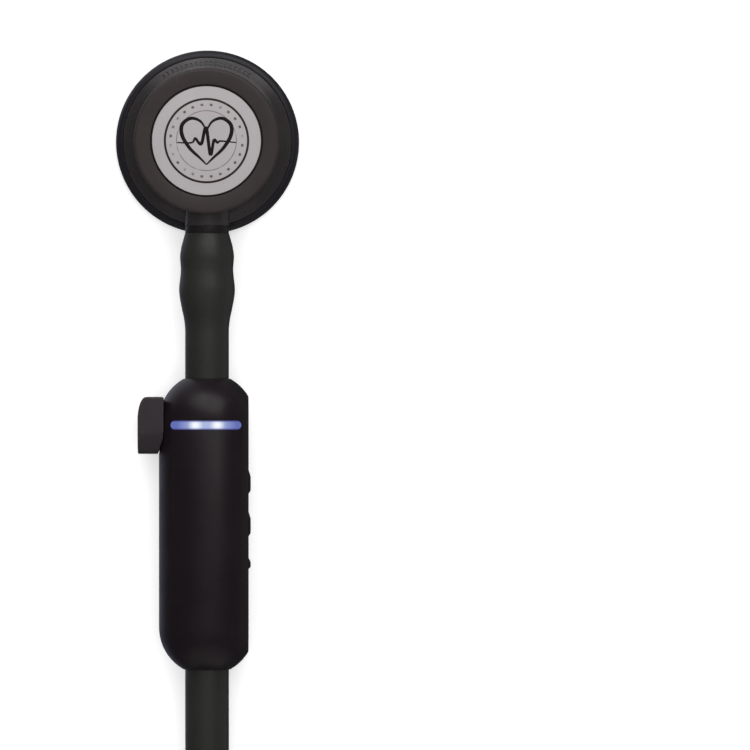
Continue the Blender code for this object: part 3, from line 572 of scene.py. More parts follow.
# ---- finishes -------------------------------------------------------------------------------
class NodeBoard:
    """Lays out the nodes of one procedural material, or of the room round the object."""

    def __init__(self, name: str, room: bpy.types.World | None = None) -> None:
        """Start a material, or the room's nodes where a room is given.

        Args:
            name: the material's name.
            room: the room.
        """
        self.material = room or bpy.data.materials.new(name)
        self.material.use_nodes = True
        self.tree = self.material.node_tree
        self.shader = self.tree.nodes["Background" if room else "Principled BSDF"]
        self.coords = self.node("ShaderNodeTexCoord").outputs["Generated" if room else "Object"]

    def node(self, kind: str, inputs: dict | None = None, **settings: object) -> bpy.types.Node:
        """Add a node.

        Args:
            kind: its type.
            inputs: values or sockets for its inputs, by name or number.
            settings: its other settings.

        Returns:
            The node.
        """
        made = self.tree.nodes.new(kind)
        for key, value in settings.items():
            setattr(made, key, value)
        for key, value in (inputs or {}).items():
            self.feed(made.inputs[key], value)
        return made

    def feed(self, socket: bpy.types.NodeSocket, value: object) -> None:
        """Link a socket to another, or give it a value.

        Args:
            socket: the socket.
            value: the other socket, or the value.
        """
        if isinstance(value, bpy.types.NodeSocket):
            self.tree.links.new(value, socket)
        else:
            socket.default_value = value

    def maths(self, operation: str, *values: object) -> bpy.types.NodeSocket:
        """Work out one number from others."""
        return self.node("ShaderNodeMath", dict(enumerate(values)), operation=operation).outputs[0]

    def vector(self, operation: str, *values: object) -> bpy.types.NodeOutputs:
        """Work out a vector, the first output, or a number, the second, from vectors."""
        made = self.node("ShaderNodeVectorMath", dict(enumerate(values)), operation=operation)
        return made.outputs

    def from_axis(self) -> bpy.types.NodeSocket:
        """Give the distance from the vertical axis of the object."""
        return self.vector("LENGTH", self.vector("MULTIPLY", self.coords, (1.0, 1.0, 0.0))[0])[1]

    def remap(self, value: bpy.types.NodeSocket, low: float, high: float, to_low: float = 0.0,
              to_high: float = 1.0, **settings: str) -> bpy.types.NodeSocket:
        """Stretch a range of a value to another, with its ends held."""
        inputs = {0: value, 1: low, 2: high, 3: to_low, 4: to_high}
        return self.node("ShaderNodeMapRange", inputs, **settings).outputs[0]

    def noise(self, size: float, detail: float = 2.0, stretch: tuple = (1.0, 1.0, 1.0),
              offset: float = 0.0) -> bpy.types.NodeSocket:
        """Give a noise pattern.

        Args:
            size: size of its features in millimetres.
            detail: finer layers in it.
            stretch: how many times narrower it is along each axis.
            offset: moves it, so that two patterns differ.

        Returns:
            The pattern, about 0.5 on average.
        """
        scale = tuple(factor / (size * MM) for factor in stretch)
        moved = self.node("ShaderNodeMapping", {"Vector": self.coords, "Scale": scale,
                                                "Location": (offset, offset * 0.7, -offset)})
        inputs = {"Vector": moved.outputs[0], "Scale": 1.0, "Detail": detail, "Roughness": 0.55}
        return self.node("ShaderNodeTexNoise", inputs).outputs[0]

    def mix(self, share: object, first: object, second: object) -> bpy.types.NodeSocket:
        """Mix two colours.

        Args:
            share: how much of the second.
            first: the first colour.
            second: the second.

        Returns:
            The mixed colour.
        """
        made = self.node("ShaderNodeMix", data_type="RGBA", clamp_factor=True)
        self.feed(made.inputs[0], share)
        for index, value in ((6, first), (7, second)):
            self.feed(made.inputs[index], (*value, 1.0) if isinstance(value, tuple) else value)
        return made.outputs[2]

    def bump(self, height: bpy.types.NodeSocket, depth: float,
             under: bpy.types.NodeSocket | None = None) -> bpy.types.NodeSocket:
        """Raise a pattern from the surface.

        Args:
            height: the pattern.
            depth: its height in millimetres.
            under: a bump that it goes on top of.

        Returns:
            The normal.
        """
        made = self.node("ShaderNodeBump", {"Height": height, "Distance": depth * MM,
                                            "Strength": 1.0})
        if under is not None:
            self.feed(made.inputs["Normal"], under)
        return made.outputs[0]


@dataclass(frozen=True)
class Finish:
    """A surface as it comes from its maker and wears in use. Sizes are in millimetres."""

    name: str
    colour: Colour
    roughness: float
    metallic: float = 0.0
    specular: float = 0.5
    sheen: float = 0.0
    coat: float = 0.0
    drift: float = 0.10              # how far the colour drifts from place to place
    drift_size: float = 11.0
    grain_size: float = 0.30
    grain_depth: float = 0.004
    smudge: float = 0.05             # how far handling changes the roughness
    worn: Colour = (0.12, 0.115, 0.115)
    wear: float = 0.5                # how much of the edges is worn
    scratches: float = 0.25
    dust: float = 0.12
    dust_colour: Colour = (0.42, 0.41, 0.40)
    pattern: Pattern = Pattern.PLAIN
    line_pitch: float = 0.22         # from one line of the pattern to the next

    def tone(self, factor: float) -> Colour:
        """Give the colour, lighter or darker."""
        return tuple(min(part * factor, 1.0) for part in self.colour)

    def base(self, board: NodeBoard) -> bpy.types.NodeSocket:
        """Lay the unworn colour.

        Args:
            board: the material's nodes.

        Returns:
            The colour.
        """
        patches = board.remap(board.noise(self.drift_size, 3.0), 0.3, 0.7)
        drifted = board.mix(patches, self.tone(1.0 - self.drift), self.tone(1.0 + self.drift))
        pores = board.remap(board.noise(self.grain_size * 2.2, 2.0, offset=3.0), 0.35, 0.65)
        return board.mix(board.maths("MULTIPLY", pores, self.drift), drifted, self.tone(1.6))

    def relief(self, board: NodeBoard) -> bpy.types.NodeSocket:
        """Lay the grain, and the lines of the pattern over it.

        Args:
            board: the material's nodes.

        Returns:
            The normal.
        """
        normal = board.bump(board.noise(self.grain_size, 2.0), self.grain_depth)
        if self.pattern is Pattern.PLAIN:
            return normal
        if self.pattern is Pattern.DRAWN:
            lines = board.noise(self.line_pitch, 3.0, (1.0, 0.04, 1.0))
            return board.bump(lines, self.grain_depth, normal)
        turns = board.maths("MULTIPLY", board.from_axis(), math.tau / (self.line_pitch * MM))
        return board.bump(board.maths("SINE", turns), self.grain_depth * 0.4, normal)

    def material(self) -> bpy.types.Material:
        """Make the material: colour, wear, scratches and dust, with roughness and relief to match.

        Returns:
            The material.
        """
        board = NodeBoard(self.name)
        shader = board.shader
        edge = board.node("ShaderNodeAttribute", attribute_name="edge_wear").outputs["Fac"]
        rubbed = board.remap(board.noise(1.3, 5.0, offset=7.0), 0.42, 0.62)
        rubbed = board.maths("MULTIPLY", board.maths("MULTIPLY", rubbed, edge), self.wear)
        hair = board.remap(board.noise(1.1, 2.0, (1.0, 0.06, 1.0), 11.0), 0.70, 0.74)
        where = board.remap(board.noise(14.0, 1.0, offset=5.0), 0.50, 0.62)
        hair = board.maths("MULTIPLY", board.maths("MULTIPLY", hair, where), self.scratches)
        dust = board.remap(board.noise(0.34, 1.0, offset=23.0), 0.735, 0.80)
        dust = board.maths("MULTIPLY", dust, self.dust)
        colour = board.mix(rubbed, self.base(board), self.worn)
        colour = board.mix(hair, colour, self.worn)
        colour = board.mix(dust, colour, self.dust_colour)
        board.feed(shader.inputs["Base Color"], colour)
        touched = board.remap(board.noise(6.0, 3.0, offset=17.0), 0.3, 0.7,
                              self.roughness - self.smudge, self.roughness + self.smudge)
        rough = board.maths("ADD", touched, board.maths("MULTIPLY", hair, 0.2))
        board.feed(shader.inputs["Roughness"], rough)
        board.feed(shader.inputs["Normal"], self.relief(board))
        for name, value in {"Metallic": self.metallic, "Specular IOR Level": self.specular,
                            "Sheen Weight": self.sheen, "Sheen Roughness": 0.5,
                            "Coat Weight": self.coat, "Coat Roughness": 0.2}.items():
            shader.inputs[name].default_value = value
        self.extra(board)
        return board.material

    def extra(self, board: NodeBoard) -> None:
        """Add what only one kind of finish has; nothing here."""


@dataclass(frozen=True)
class PrintedFinish(Finish):
    """A disc's print: two rings and a ring of short marks round its centre, and painted shade at
    its edge.
    """

    ring_radius: float = 10.62
    ring_width: float = 0.56
    ring_ink: Colour = (0.020, 0.009, 0.007)
    thin_radius: float = 7.65
    thin_width: float = 0.24
    thin_ink: Colour = (0.20, 0.16, 0.15)
    mark_radius: float = 9.2
    mark_length: float = 0.62
    marks: int = 24
    mark_share: float = 0.24
    mark_ink: Colour = (0.11, 0.08, 0.075)
    # painted shade: from this radius out, the disc's rounded edge and the flange seen in the rim's
    # gap are painted dark, as shadow
    edge_radius: float = 13.86
    edge_ink: Colour = (0.014, 0.008, 0.008)

    def ring(self, board: NodeBoard, radius: bpy.types.NodeSocket, at: float,
             width: float) -> bpy.types.NodeSocket:
        """Give a ring of ink, 1 on it and 0 off it."""
        off = board.maths("ABSOLUTE", board.maths("SUBTRACT", radius, at * MM))
        return board.remap(off, (width / 2 - 0.03) * MM, (width / 2 + 0.03) * MM, 1.0, 0.0)

    def base(self, board: NodeBoard) -> bpy.types.NodeSocket:
        """Lay the disc's colour with the print on it, and painted shade at its edge.

        Args:
            board: the material's nodes.

        Returns:
            The colour.
        """
        ground = Finish.base(self, board)
        radius = board.from_axis()
        split = board.node("ShaderNodeSeparateXYZ", {0: board.coords}).outputs
        turn = board.maths("ARCTAN2", split[1], split[0])
        step = board.maths("FRACT", board.maths("MULTIPLY_ADD", turn, self.marks / math.tau, 100.0))
        near = board.maths("ABSOLUTE", board.maths("SUBTRACT", step, 0.5))
        mark = board.remap(near, self.mark_share / 2, self.mark_share / 2 + 0.05, 1.0, 0.0)
        band = self.ring(board, radius, self.mark_radius, self.mark_length)
        worn = board.remap(board.noise(2.2, 2.0, offset=31.0), 0.34, 0.50, 0.25, 1.0)
        mark = board.maths("MULTIPLY", board.maths("MULTIPLY", mark, band), worn)
        inked = board.mix(mark, ground, self.mark_ink)
        thin = self.ring(board, radius, self.thin_radius, self.thin_width)
        inked = board.mix(board.maths("MULTIPLY", worn, thin), inked, self.thin_ink)
        # painted shade: darken the disc's edge and the rim's gap beyond it, as shadow
        edge = board.remap(radius, (self.edge_radius - 0.03) * MM, (self.edge_radius + 0.03) * MM)
        inked = board.mix(edge, inked, self.edge_ink)
        broad = self.ring(board, radius, self.ring_radius, self.ring_width)
        return board.mix(broad, inked, self.ring_ink)


@dataclass(frozen=True)
class GlowFinish(Finish):
    """A frosted window with two lamps behind it."""

    lamp_x: float = 2.8
    spot: float = 2.35
    centre_y: float = -72.6
    half_length: float = 7.6
    half_height: float = 1.12
    end_light: Colour = (0.118, 0.150, 0.43)
    middle_light: Colour = (0.385, 0.455, 0.70)
    lamp_light: Colour = (0.95, 0.98, 1.0)
    edge_light: Colour = (0.045, 0.04, 0.24)
    strength: float = 1.0

    def extra(self, board: NodeBoard) -> None:
        """Light the window: brightest over the lamps, deeper blue towards its ends and edges.

        Args:
            board: the material's nodes.
        """
        split = board.node("ShaderNodeSeparateXYZ", {0: board.coords}).outputs
        across = board.maths("ABSOLUTE", split[0])
        middle = board.remap(across, self.lamp_x * MM, self.half_length * MM, 1.0, 0.0)
        light = board.mix(middle, self.end_light, self.middle_light)
        height = board.maths("ABSOLUTE", board.maths("SUBTRACT", split[1], self.centre_y * MM))
        off = board.maths("SUBTRACT", across, self.lamp_x * MM)
        off = board.maths("SQRT", board.maths("ADD", board.maths("MULTIPLY", off, off),
                                              board.maths("MULTIPLY", height, height)))
        spot = board.remap(off, 0.0, self.spot * MM, 0.96, 0.0, interpolation_type="SMOOTHSTEP")
        light = board.mix(spot, light, self.lamp_light)
        edge = board.remap(height, self.half_height * 0.55 * MM, self.half_height * MM, 0.0, 0.85,
                           interpolation_type="SMOOTHSTEP")
        light = board.mix(edge, light, self.edge_light)
        board.feed(board.shader.inputs["Emission Color"], light)
        board.shader.inputs["Emission Strength"].default_value = self.strength


@dataclass(frozen=True)
class Palette:
    """Every finish of the object."""

    enamel: Finish = Finish("satin_black_enamel", (0.0265, 0.0230, 0.0238), 0.27, specular=0.48,
                            grain_size=0.16, grain_depth=0.0015, wear=0.22,
                            worn=(0.10, 0.095, 0.09), dust=0.05, scratches=0.12)
    rim: Finish = Finish("soft_black_rim", (0.0300, 0.0235, 0.0228), 0.44, specular=0.36,
                         grain_size=0.22, wear=0.16, worn=(0.06, 0.055, 0.054), dust=0.04)
    # painted shade: a darker, bluer copy of the small rim's finish, so that the large rim reads as
    # shaded at its edge
    wide_rim: Finish = Finish("satin_black_wide_rim", (0.0125, 0.0112, 0.0145), 0.40,
                              specular=0.34, grain_size=0.22, wear=0.05,
                              worn=(0.03, 0.028, 0.034), dust=0.04)
    film: Finish = Finish("grained_black_film", (0.030, 0.027, 0.027), 0.42, grain_size=0.5,
                          grain_depth=0.012, drift=0.14, scratches=0.5)
    medallion: Finish = PrintedFinish("printed_silver_grey_film", (0.385, 0.360, 0.370), 0.44,
                                      specular=0.36, grain_size=0.25, grain_depth=0.002,
                                      drift=0.035, wear=0.15, worn=(0.45, 0.43, 0.43),
                                      scratches=0.2, dust=0.03, pattern=Pattern.TURNED)
    ink: Finish = Finish("black_print", (0.006, 0.0045, 0.0045), 0.42, specular=0.3, drift=0.2,
                         wear=0.1, worn=(0.03, 0.025, 0.025), dust=0.02)
    stem: Finish = Finish("satin_black_stem", (0.0100, 0.0090, 0.0090), 0.33, specular=0.34,
                          grain_size=0.16, grain_depth=0.002, wear=0.12, worn=(0.07, 0.066, 0.064))
    steel: Finish = Finish("turned_steel", (0.62, 0.615, 0.61), 0.26, metallic=1.0, grain_size=0.12,
                           grain_depth=0.002, worn=(0.75, 0.74, 0.73), drift=0.08, dust=0.03)
    spring: Finish = Finish("drawn_spring_steel", (0.46, 0.455, 0.45), 0.32, metallic=1.0,
                            grain_depth=0.003, worn=(0.6, 0.6, 0.6), pattern=Pattern.DRAWN,
                            line_pitch=0.25)
    seal: Finish = Finish("matt_seal_rubber", (0.010, 0.010, 0.010), 0.72, specular=0.3, wear=0.1)
    tubing: Finish = Finish("satin_moulded_tubing", (0.0195, 0.0198, 0.0183), 0.44, specular=0.40,
                            grain_size=0.42, grain_depth=0.010, drift=0.12, drift_size=16.0,
                            wear=0.20, worn=(0.045, 0.045, 0.042), scratches=0.10, dust=0.05)
    shell: Finish = Finish("fine_textured_shell", (0.0092, 0.0060, 0.0080), 0.355, specular=0.32,
                           grain_size=0.26, grain_depth=0.011, wear=0.34,
                           worn=(0.045, 0.042, 0.046), scratches=0.10, dust=0.04)
    slider: Finish = Finish("fine_textured_slider", (0.0240, 0.0190, 0.0222), 0.44, specular=0.40,
                            grain_size=0.26, grain_depth=0.013, drift=0.08, wear=0.36,
                            worn=(0.08, 0.075, 0.083), scratches=0.12, dust=0.04)
    keys: Finish = Finish("soft_matt_keys", (0.009, 0.008, 0.0085), 0.58, specular=0.32,
                          grain_size=0.2, grain_depth=0.012, wear=0.38, worn=(0.05, 0.05, 0.05))
    symbol: Finish = Finish("printed_key_symbol", (0.32, 0.32, 0.33), 0.5, wear=0.4,
                            worn=(0.2, 0.2, 0.2))
    window: Finish = GlowFinish("lit_frosted_window", (0.012, 0.014, 0.03), 0.42, specular=0.30,
                                grain_depth=0.003, worn=(0.02, 0.022, 0.05), dust=0.01,
                                scratches=0.03)
    lamp: Finish = GlowFinish("lamp_phosphor", (0.6, 0.62, 0.8), 0.35, strength=2.0)
    moulding: Finish = Finish("moulded_inner_plastic", (0.075, 0.075, 0.08), 0.5, grain_size=0.35,
                              grain_depth=0.006)
    board: Finish = Finish("green_solder_mask", (0.012, 0.075, 0.03), 0.38, coat=0.3, drift=0.25,
                           drift_size=2.2, grain_size=0.5, grain_depth=0.02)
    foil: Finish = Finish("foil_pouch", (0.56, 0.565, 0.58), 0.34, metallic=0.85, drift=0.12,
                          drift_size=5.0, grain_size=1.6, grain_depth=0.05)
    ear_enamel: Finish = Finish("satin_black_ear_tube", (0.014, 0.0128, 0.013), 0.28,
                                grain_size=0.2, grain_depth=0.0012, wear=0.16,
                                worn=(0.10, 0.097, 0.094), coat=0.08, scratches=0.08, dust=0.04)
    silicone: Finish = Finish("soft_ear_silicone", (0.018, 0.018, 0.0185), 0.52, specular=0.40,
                              grain_size=0.5, grain_depth=0.010, drift=0.14, wear=0.22,
                              worn=(0.05, 0.05, 0.05), dust=0.10, sheen=0.03)

    def made(self) -> dict:
        """Make every finish's material once, and give them by the names of the fields above."""
        return {name: getattr(self, name).material() for name in self.__dataclass_fields__}


# ---- studio ---------------------------------------------------------------------------------
def towards(azimuth: float, elevation: float) -> Vector:
    """Give a direction by its angles.

    Args:
        azimuth: degrees from +X towards +Y.
        elevation: degrees above the floor's plane.

    Returns:
        The direction, of unit length.
    """
    turn, rise = math.radians(azimuth), math.radians(elevation)
    level = math.cos(rise)
    return Vector((math.cos(turn) * level, math.sin(turn) * level, math.sin(rise)))


@dataclass(frozen=True)
class Softbox:
    """A soft lamp that faces the object from one side."""

    name: str
    azimuth: float                   # degrees from +X towards +Y
    elevation: float
    distance: float                  # metres
    size: tuple[float, float]        # metres
    radiance: float
    mirrored: bool = True            # whether it shows in glossy surfaces

    def hang(self, aim: Vector) -> None:
        """Hang the lamp.

        Args:
            aim: the point that it faces, in metres.
        """
        data = bpy.data.lights.new(self.name, "AREA")
        data.shape = "RECTANGLE"
        data.size, data.size_y = self.size
        data.energy = self.radiance * math.pi * self.size[0] * self.size[1]
        lamp = bpy.data.objects.new(self.name, data)
        away = towards(self.azimuth, self.elevation)
        lamp.location = aim + away * self.distance
        lamp.rotation_euler = away.to_track_quat("Z", "Y").to_euler()
        lamp.visible_camera = False
        lamp.visible_glossy = self.mirrored
        bpy.context.scene.collection.objects.link(lamp)


@dataclass(frozen=True)
class Glow:
    """A soft pale patch of the room round the object, which its satin surfaces mirror."""

    azimuth: float                   # degrees from +X towards +Y
    elevation: float
    inner: float                     # degrees from its middle to where it starts to fade
    outer: float                     # and to where it ends
    light: Colour

    def paint(self, board: NodeBoard, under: bpy.types.NodeSocket) -> bpy.types.NodeSocket:
        """Add the patch to the room.

        Args:
            board: the room's nodes.
            under: the room's light so far.

        Returns:
            The room's light with the patch.
        """
        middle = towards(self.azimuth, self.elevation)
        near = board.vector("DOT_PRODUCT", board.coords, middle)[1]
        near = board.remap(near, math.cos(math.radians(self.outer)),
                           math.cos(math.radians(self.inner)), interpolation_type="SMOOTHSTEP")
        patch = board.node("ShaderNodeVectorMath", {0: self.light, "Scale": near},
                           operation="SCALE").outputs[0]
        return board.vector("ADD", under, patch)[0]


@dataclass
class Studio:
    """Camera, pale floor and soft lamps."""

    centre: tuple = (43.0, -59.8, AXIS_Z)      # what the camera is aimed at
    width: float = 192.0                       # width of the view there
    distance: float = 3200.0
    sensor: float = 36.0
    floor_half: float = 30.0                   # metres
    floor_drop: float = 0.02                   # how far it lies below the table's height
    floor_colour: Colour = (0.80, 0.80, 0.80)
    floor_glow: float = 0.46
    walls: Colour = (0.045, 0.045, 0.048)
    lamps: tuple = (
        Softbox("wash", 90.0, 89.9, 2.9, (3.2, 3.2), 2.45, mirrored=False),
        Softbox("key", 76.0, 45.0, 2.0, (2.0, 1.6), 1.6),
    )
    glows: tuple = (
        Glow(90.0, 0.0, 10.0, 75.0, (0.10, 0.10, 0.11)),
        Glow(114.0, 31.0, 3.0, 22.0, (1.5, 1.48, 1.46)),
        Glow(126.0, -34.0, 10.0, 50.0, (0.47, 0.47, 0.52)),
        Glow(183.0, -60.0, 8.0, 36.0, (0.17, 0.175, 0.25)),
        Glow(20.0, 68.0, 8.0, 40.0, (0.09, 0.086, 0.083)),
        Glow(272.0, 8.0, 8.0, 50.0, (0.36, 0.35, 0.35)),
        Glow(0.0, -20.0, 8.0, 38.0, (0.13, 0.13, 0.127)),
    )

    def build_camera(self) -> None:
        """Set the camera straight above, with the chestpiece at the top of its view."""
        data = bpy.data.cameras.new("camera")
        data.sensor_width = self.sensor
        data.lens = self.sensor * self.distance / self.width
        data.clip_start, data.clip_end = 0.05, 200.0
        camera = bpy.data.objects.new("camera", data)
        camera.location = Vector((*self.centre[:2], self.centre[2] + self.distance)) * MM
        bpy.context.scene.collection.objects.link(camera)
        bpy.context.scene.camera = camera
        bpy.context.scene.view_settings.view_transform = "Standard"

    def build_floor(self) -> None:
        """Lay the floor, a plain pale sheet."""
        bm = bmesh.new()
        bmesh.ops.create_grid(bm, x_segments=1, y_segments=1, size=self.floor_half)
        board = NodeBoard("pale_floor")
        for name, value in {"Base Color": (*self.floor_colour, 1.0), "Roughness": 0.9,
                            "Specular IOR Level": 0.1, "Emission Color": (1.0, 1.0, 1.0, 1.0),
                            "Emission Strength": self.floor_glow}.items():
            board.shader.inputs[name].default_value = value
        floor = as_object(bm, "floor")
        floor.data.materials.append(board.material)
        floor.visible_glossy = False
        floor.location.z = -self.floor_drop * MM

    def light(self) -> None:
        """Hang the lamps, and paint the dark room with a few soft patches of light."""
        for lamp in self.lamps:
            lamp.hang(Vector(self.centre) * MM)
        world = bpy.data.worlds.new("room")
        board = NodeBoard("room", world)
        light = board.node("ShaderNodeCombineXYZ", dict(enumerate(self.walls))).outputs[0]
        for glow in self.glows:
            light = glow.paint(board, light)
        board.feed(board.shader.inputs["Color"], light)
        bpy.context.scene.world = world

    def build(self) -> None:
        """Build all of it."""
        self.build_camera()
        self.build_floor()
        self.light()


@dataclass
class SubAssembly:
    """Pieces that are built together, with the materials that they take."""

    paint: dict


# ---- headset tube ---------------------------------------------------------------------------
@dataclass
class HeadsetTube(SubAssembly):
    """The free tube from the module's lower end, round a U-turn, to the yoke."""

    radius: float = 5.55
    sides: int = 48
    seam: float = 0.05
    mouth_y: float = -135.2
    route: tuple = (
        (0.0, -131.1, 12.3), (0.0, -137.0, 12.3), (0.0, -147.0, 11.8), (0.0, -160.0, 9.9),
        (0.0, -174.0, 7.6), (-4.5, -196.6, 5.9), (-17.3, -215.7, 5.6), (-36.4, -228.5, 5.6),
        (-59.0, -233.0, 5.6), (-81.6, -228.5, 5.6), (-100.7, -215.7, 5.6), (-113.5, -196.6, 5.7),
        (-118.0, -174.0, 6.2), (-118.0, -160.0, 6.9), (-118.0, -152.0, 7.1), (-118.0, -146.0, 7.1),
    )
    per_span: int = 7

    def build(self) -> None:
        line = smooth_route(self.route, self.per_span)
        bm = swept(stations(line, [self.radius] * len(line)), self.sides, self.seam)
        place = Place("headset_tube_skin", "tubing", "module", ("headset_tube",))
        tube = placed(bm, place, self.paint["tubing"])


# ---- chestpiece -----------------------------------------------------------------------------
@dataclass
class Chestpiece(SubAssembly):
    """Turned head, its two snap-on rims and its two floating diaphragms."""

    steps: int = 144
    small_bell: Profile = ((0.0, 17.4), (2.5, 17.4), (13.4, 19.9), (13.4, 20.2), (17.6, 20.2),
                           (17.6, 18.7), (18.2, 18.7, 0.12))
    waist: Profile = ((18.2, 18.2), (16.6, 16.9), (13.2, 15.4), (11.7, 13.6), (11.5, 12.3),
                      (11.9, 10.7), (14.0, 8.9), (18.6, 7.0), (20.3, 6.05), (21.55, 5.35))
    large_bell: Profile = ((21.6, 5.2), (21.6, 4.45), (22.6, 4.2), (22.6, 2.4), (20.0, 2.4),
                           (19.8, 2.7), (2.5, 5.6), (0.0, 5.6))
    boss_start: float = -8.0
    boss_end: float = -21.6
    boss_radius: float = 5.65
    bore_end: float = 5.7
    bore_radius: float = 3.9
    cross_half: float = 14.0         # half the length of the hole for the screw and the detent
    cross_radius: float = 1.4
    cross_y: float = -6.0
    large_face: float = 20.5         # radius of each diaphragm's face
    small_face: float = 14.05
    head_top: float = 22.6
    dash_radii: tuple = (19.5, 20.7)
    dash_turns: tuple = (58.0, 124.0, 19)      # first and last degree, and how many
    dash_half: float = 0.35
    dash_slope: float = 28.0         # how far the flank falls outwards, in degrees
    motif_lift: float = 0.035
    motif_weight: float = 0.50

    def build_body(self) -> None:
        """Turn the head with its boss, bore and cross hole."""
        profile = self.small_bell + smooth_profile(self.waist) + self.large_bell
        boss = turned(((0.0, self.boss_start), (self.boss_radius, self.boss_start),
                       (self.boss_radius, self.boss_end, 0.18), (0.0, self.boss_end)),
                      96, Lie.ALONG, ON_AXIS)
        bore = bar((0, self.boss_end - 1, AXIS_Z), (0, self.bore_end, AXIS_Z), self.bore_radius)
        half, y = self.cross_half, self.cross_y
        cross = bar((-half, y, AXIS_Z), (half, y, AXIS_Z), self.cross_radius, sides=32)
        bm = worked(turned(profile, self.steps), (Cut.JOIN, boss), (Cut.REMOVE, bore),
                    (Cut.REMOVE, cross), (Cut.REMOVE, merged(self.dashes())))
        place = Place("head_body", "enamel", "chestpiece", ("chestpiece_body",))
        placed(bm, place, self.paint["enamel"])

    def dashes(self) -> list:
        """Shape the cutters of the row of plain dashes round the top of the wide flank.

        Returns:
            The cutters.
        """
        inner, outer = self.dash_radii
        first, last, count = self.dash_turns
        height = (self.waist[-3][1] + self.waist[-1][1]) / 2
        slope = Matrix.Rotation(math.radians(self.dash_slope), 4, "Y")
        middle = Vector(((inner + outer) / 2, 0.0, height))
        tools = []
        for index in range(count):
            turn = first + (last - first) * index / (count - 1)
            tool = block((inner, -self.dash_half, height - 0.2),
                         (outer, self.dash_half, height + 2.5), 0.1)
            tool.transform(Matrix.Rotation(math.radians(turn), 4, "Z")
                           @ Matrix.Translation(middle) @ slope @ Matrix.Translation(-middle))
            tools.append(tool)
        return tools

    def build_rims(self) -> None:
        """Turn the two rims that hold the diaphragms."""
        inner, flange = self.large_face + 0.3, self.large_face + 1.7
        large = ((21.7, 5.22, 0.1), (22.2, 5.12), (22.85, 4.8, 0.12), (23.5, 3.75, 0.3),
                 (23.5, 2.9), (23.44, 2.75), (23.44, 2.45), (23.5, 2.3), (23.5, 0.5, 0.3),
                 (22.9, 0.0, 0.3), (inner, 0.0, 0.15), (inner, 0.9), (flange, 0.9), (flange, 2.1),
                 (22.7, 2.1), (22.7, 4.3), (21.7, 4.55))
        place = Place("large_rim", "rim", "chestpiece", ("large_rim_ring",))
        # the large rim takes the painted-shade copy of the rim's finish
        placed(turned(large, self.steps), place, self.paint["wide_rim"])
        inner, flange = self.small_face + 0.3, self.small_face + 1.85
        small = ((18.1, 22.6, 0.3), (18.6, 22.1, 0.3), (18.6, 20.7), (18.52, 20.6), (18.52, 20.3),
                 (18.6, 20.2), (18.6, 19.0, 0.2), (17.9, 19.0), (17.9, 20.5), (flange, 20.5),
                 (flange, 21.7), (inner, 21.7), (inner, 22.6, 0.14))
        place = Place("small_rim", "rim", "chestpiece", ("small_rim_ring",))
        placed(turned(small, self.steps), place, self.paint["rim"])

    def build_diaphragms(self) -> None:
        """Turn the wide black diaphragm and the small printed one."""
        face = self.large_face
        large = ((0.0, 0.6), (face - 0.9, 0.6), (face - 0.6, 1.7), (face + 1.4, 1.7),
                 (face + 1.4, 1.2), (face, 1.2), (face, 0.0, 0.18), (face - 1.6, 0.0),
                 (face - 1.75, 0.09), (face - 2.0, 0.09), (face - 2.15, 0.0), (0.0, 0.0))
        place = Place("large_diaphragm_disc", "film", "large_membrane", ("large_diaphragm",))
        placed(turned(large, self.steps), place, self.paint["film"])
        face, top = self.small_face, self.head_top
        small = ((0.0, top), (face, top, 0.1), (face, top - 1.2), (face + 1.55, top - 1.2),
                 (face + 1.55, top - 1.7), (face - 0.6, top - 1.7), (face - 0.9, top - 0.6),
                 (0.0, top - 0.6))
        place = Place("small_diaphragm_disc", "medallion", "small_membrane", ("small_diaphragm",))
        placed(turned(small, self.steps), place, self.paint["medallion"])

    def stroke(self, points: list, weight: float) -> bmesh.types.BMesh:
        """Draw one stroke of the print on the small diaphragm, thin at both ends.

        Args:
            points: its route on the disc.
            weight: its half width at its fullest.

        Returns:
            The mesh.
        """
        line = smooth_route([(x, y, self.head_top) for x, y in points], 8)
        radii = [weight * (0.35 + 0.65 * math.sin(math.pi * index / (len(line) - 1)))
                 for index in range(len(line))]
        bm = swept(stations(line, radii), 12)
        for vert in bm.verts:
            vert.co.z = self.head_top + (vert.co.z - self.head_top) * self.motif_lift / weight
        return bm

    def build_motif(self) -> None:
        """Print a plain heart with a pulse line through it."""
        lobe = [(0.0, 2.5), (1.5, 4.9), (4.0, 5.7), (6.2, 4.1), (6.2, 1.3), (4.3, -1.9),
                (1.8, -4.3), (0.0, -6.1)]
        pulse = [(-7.6, -0.5), (-3.8, -0.5), (-2.9, 0.6), (-2.0, -0.5), (-1.2, -0.6), (-0.1, 3.4),
                 (1.0, -3.6), (1.9, 0.1), (2.8, -0.5), (3.7, -0.1), (7.6, -0.5)]
        strokes = [self.stroke(lobe, self.motif_weight),
                   self.stroke([(-x, y) for x, y in lobe], self.motif_weight),
                   self.stroke(pulse, self.motif_weight * 0.85)]
        place = Place("small_diaphragm_print", "medallion", "small_membrane")
        placed(merged(strokes), place, self.paint["ink"])

    def build(self) -> None:
        """Build all of it."""
        self.build_body()
        self.build_rims()
        self.build_diaphragms()
        self.build_motif()


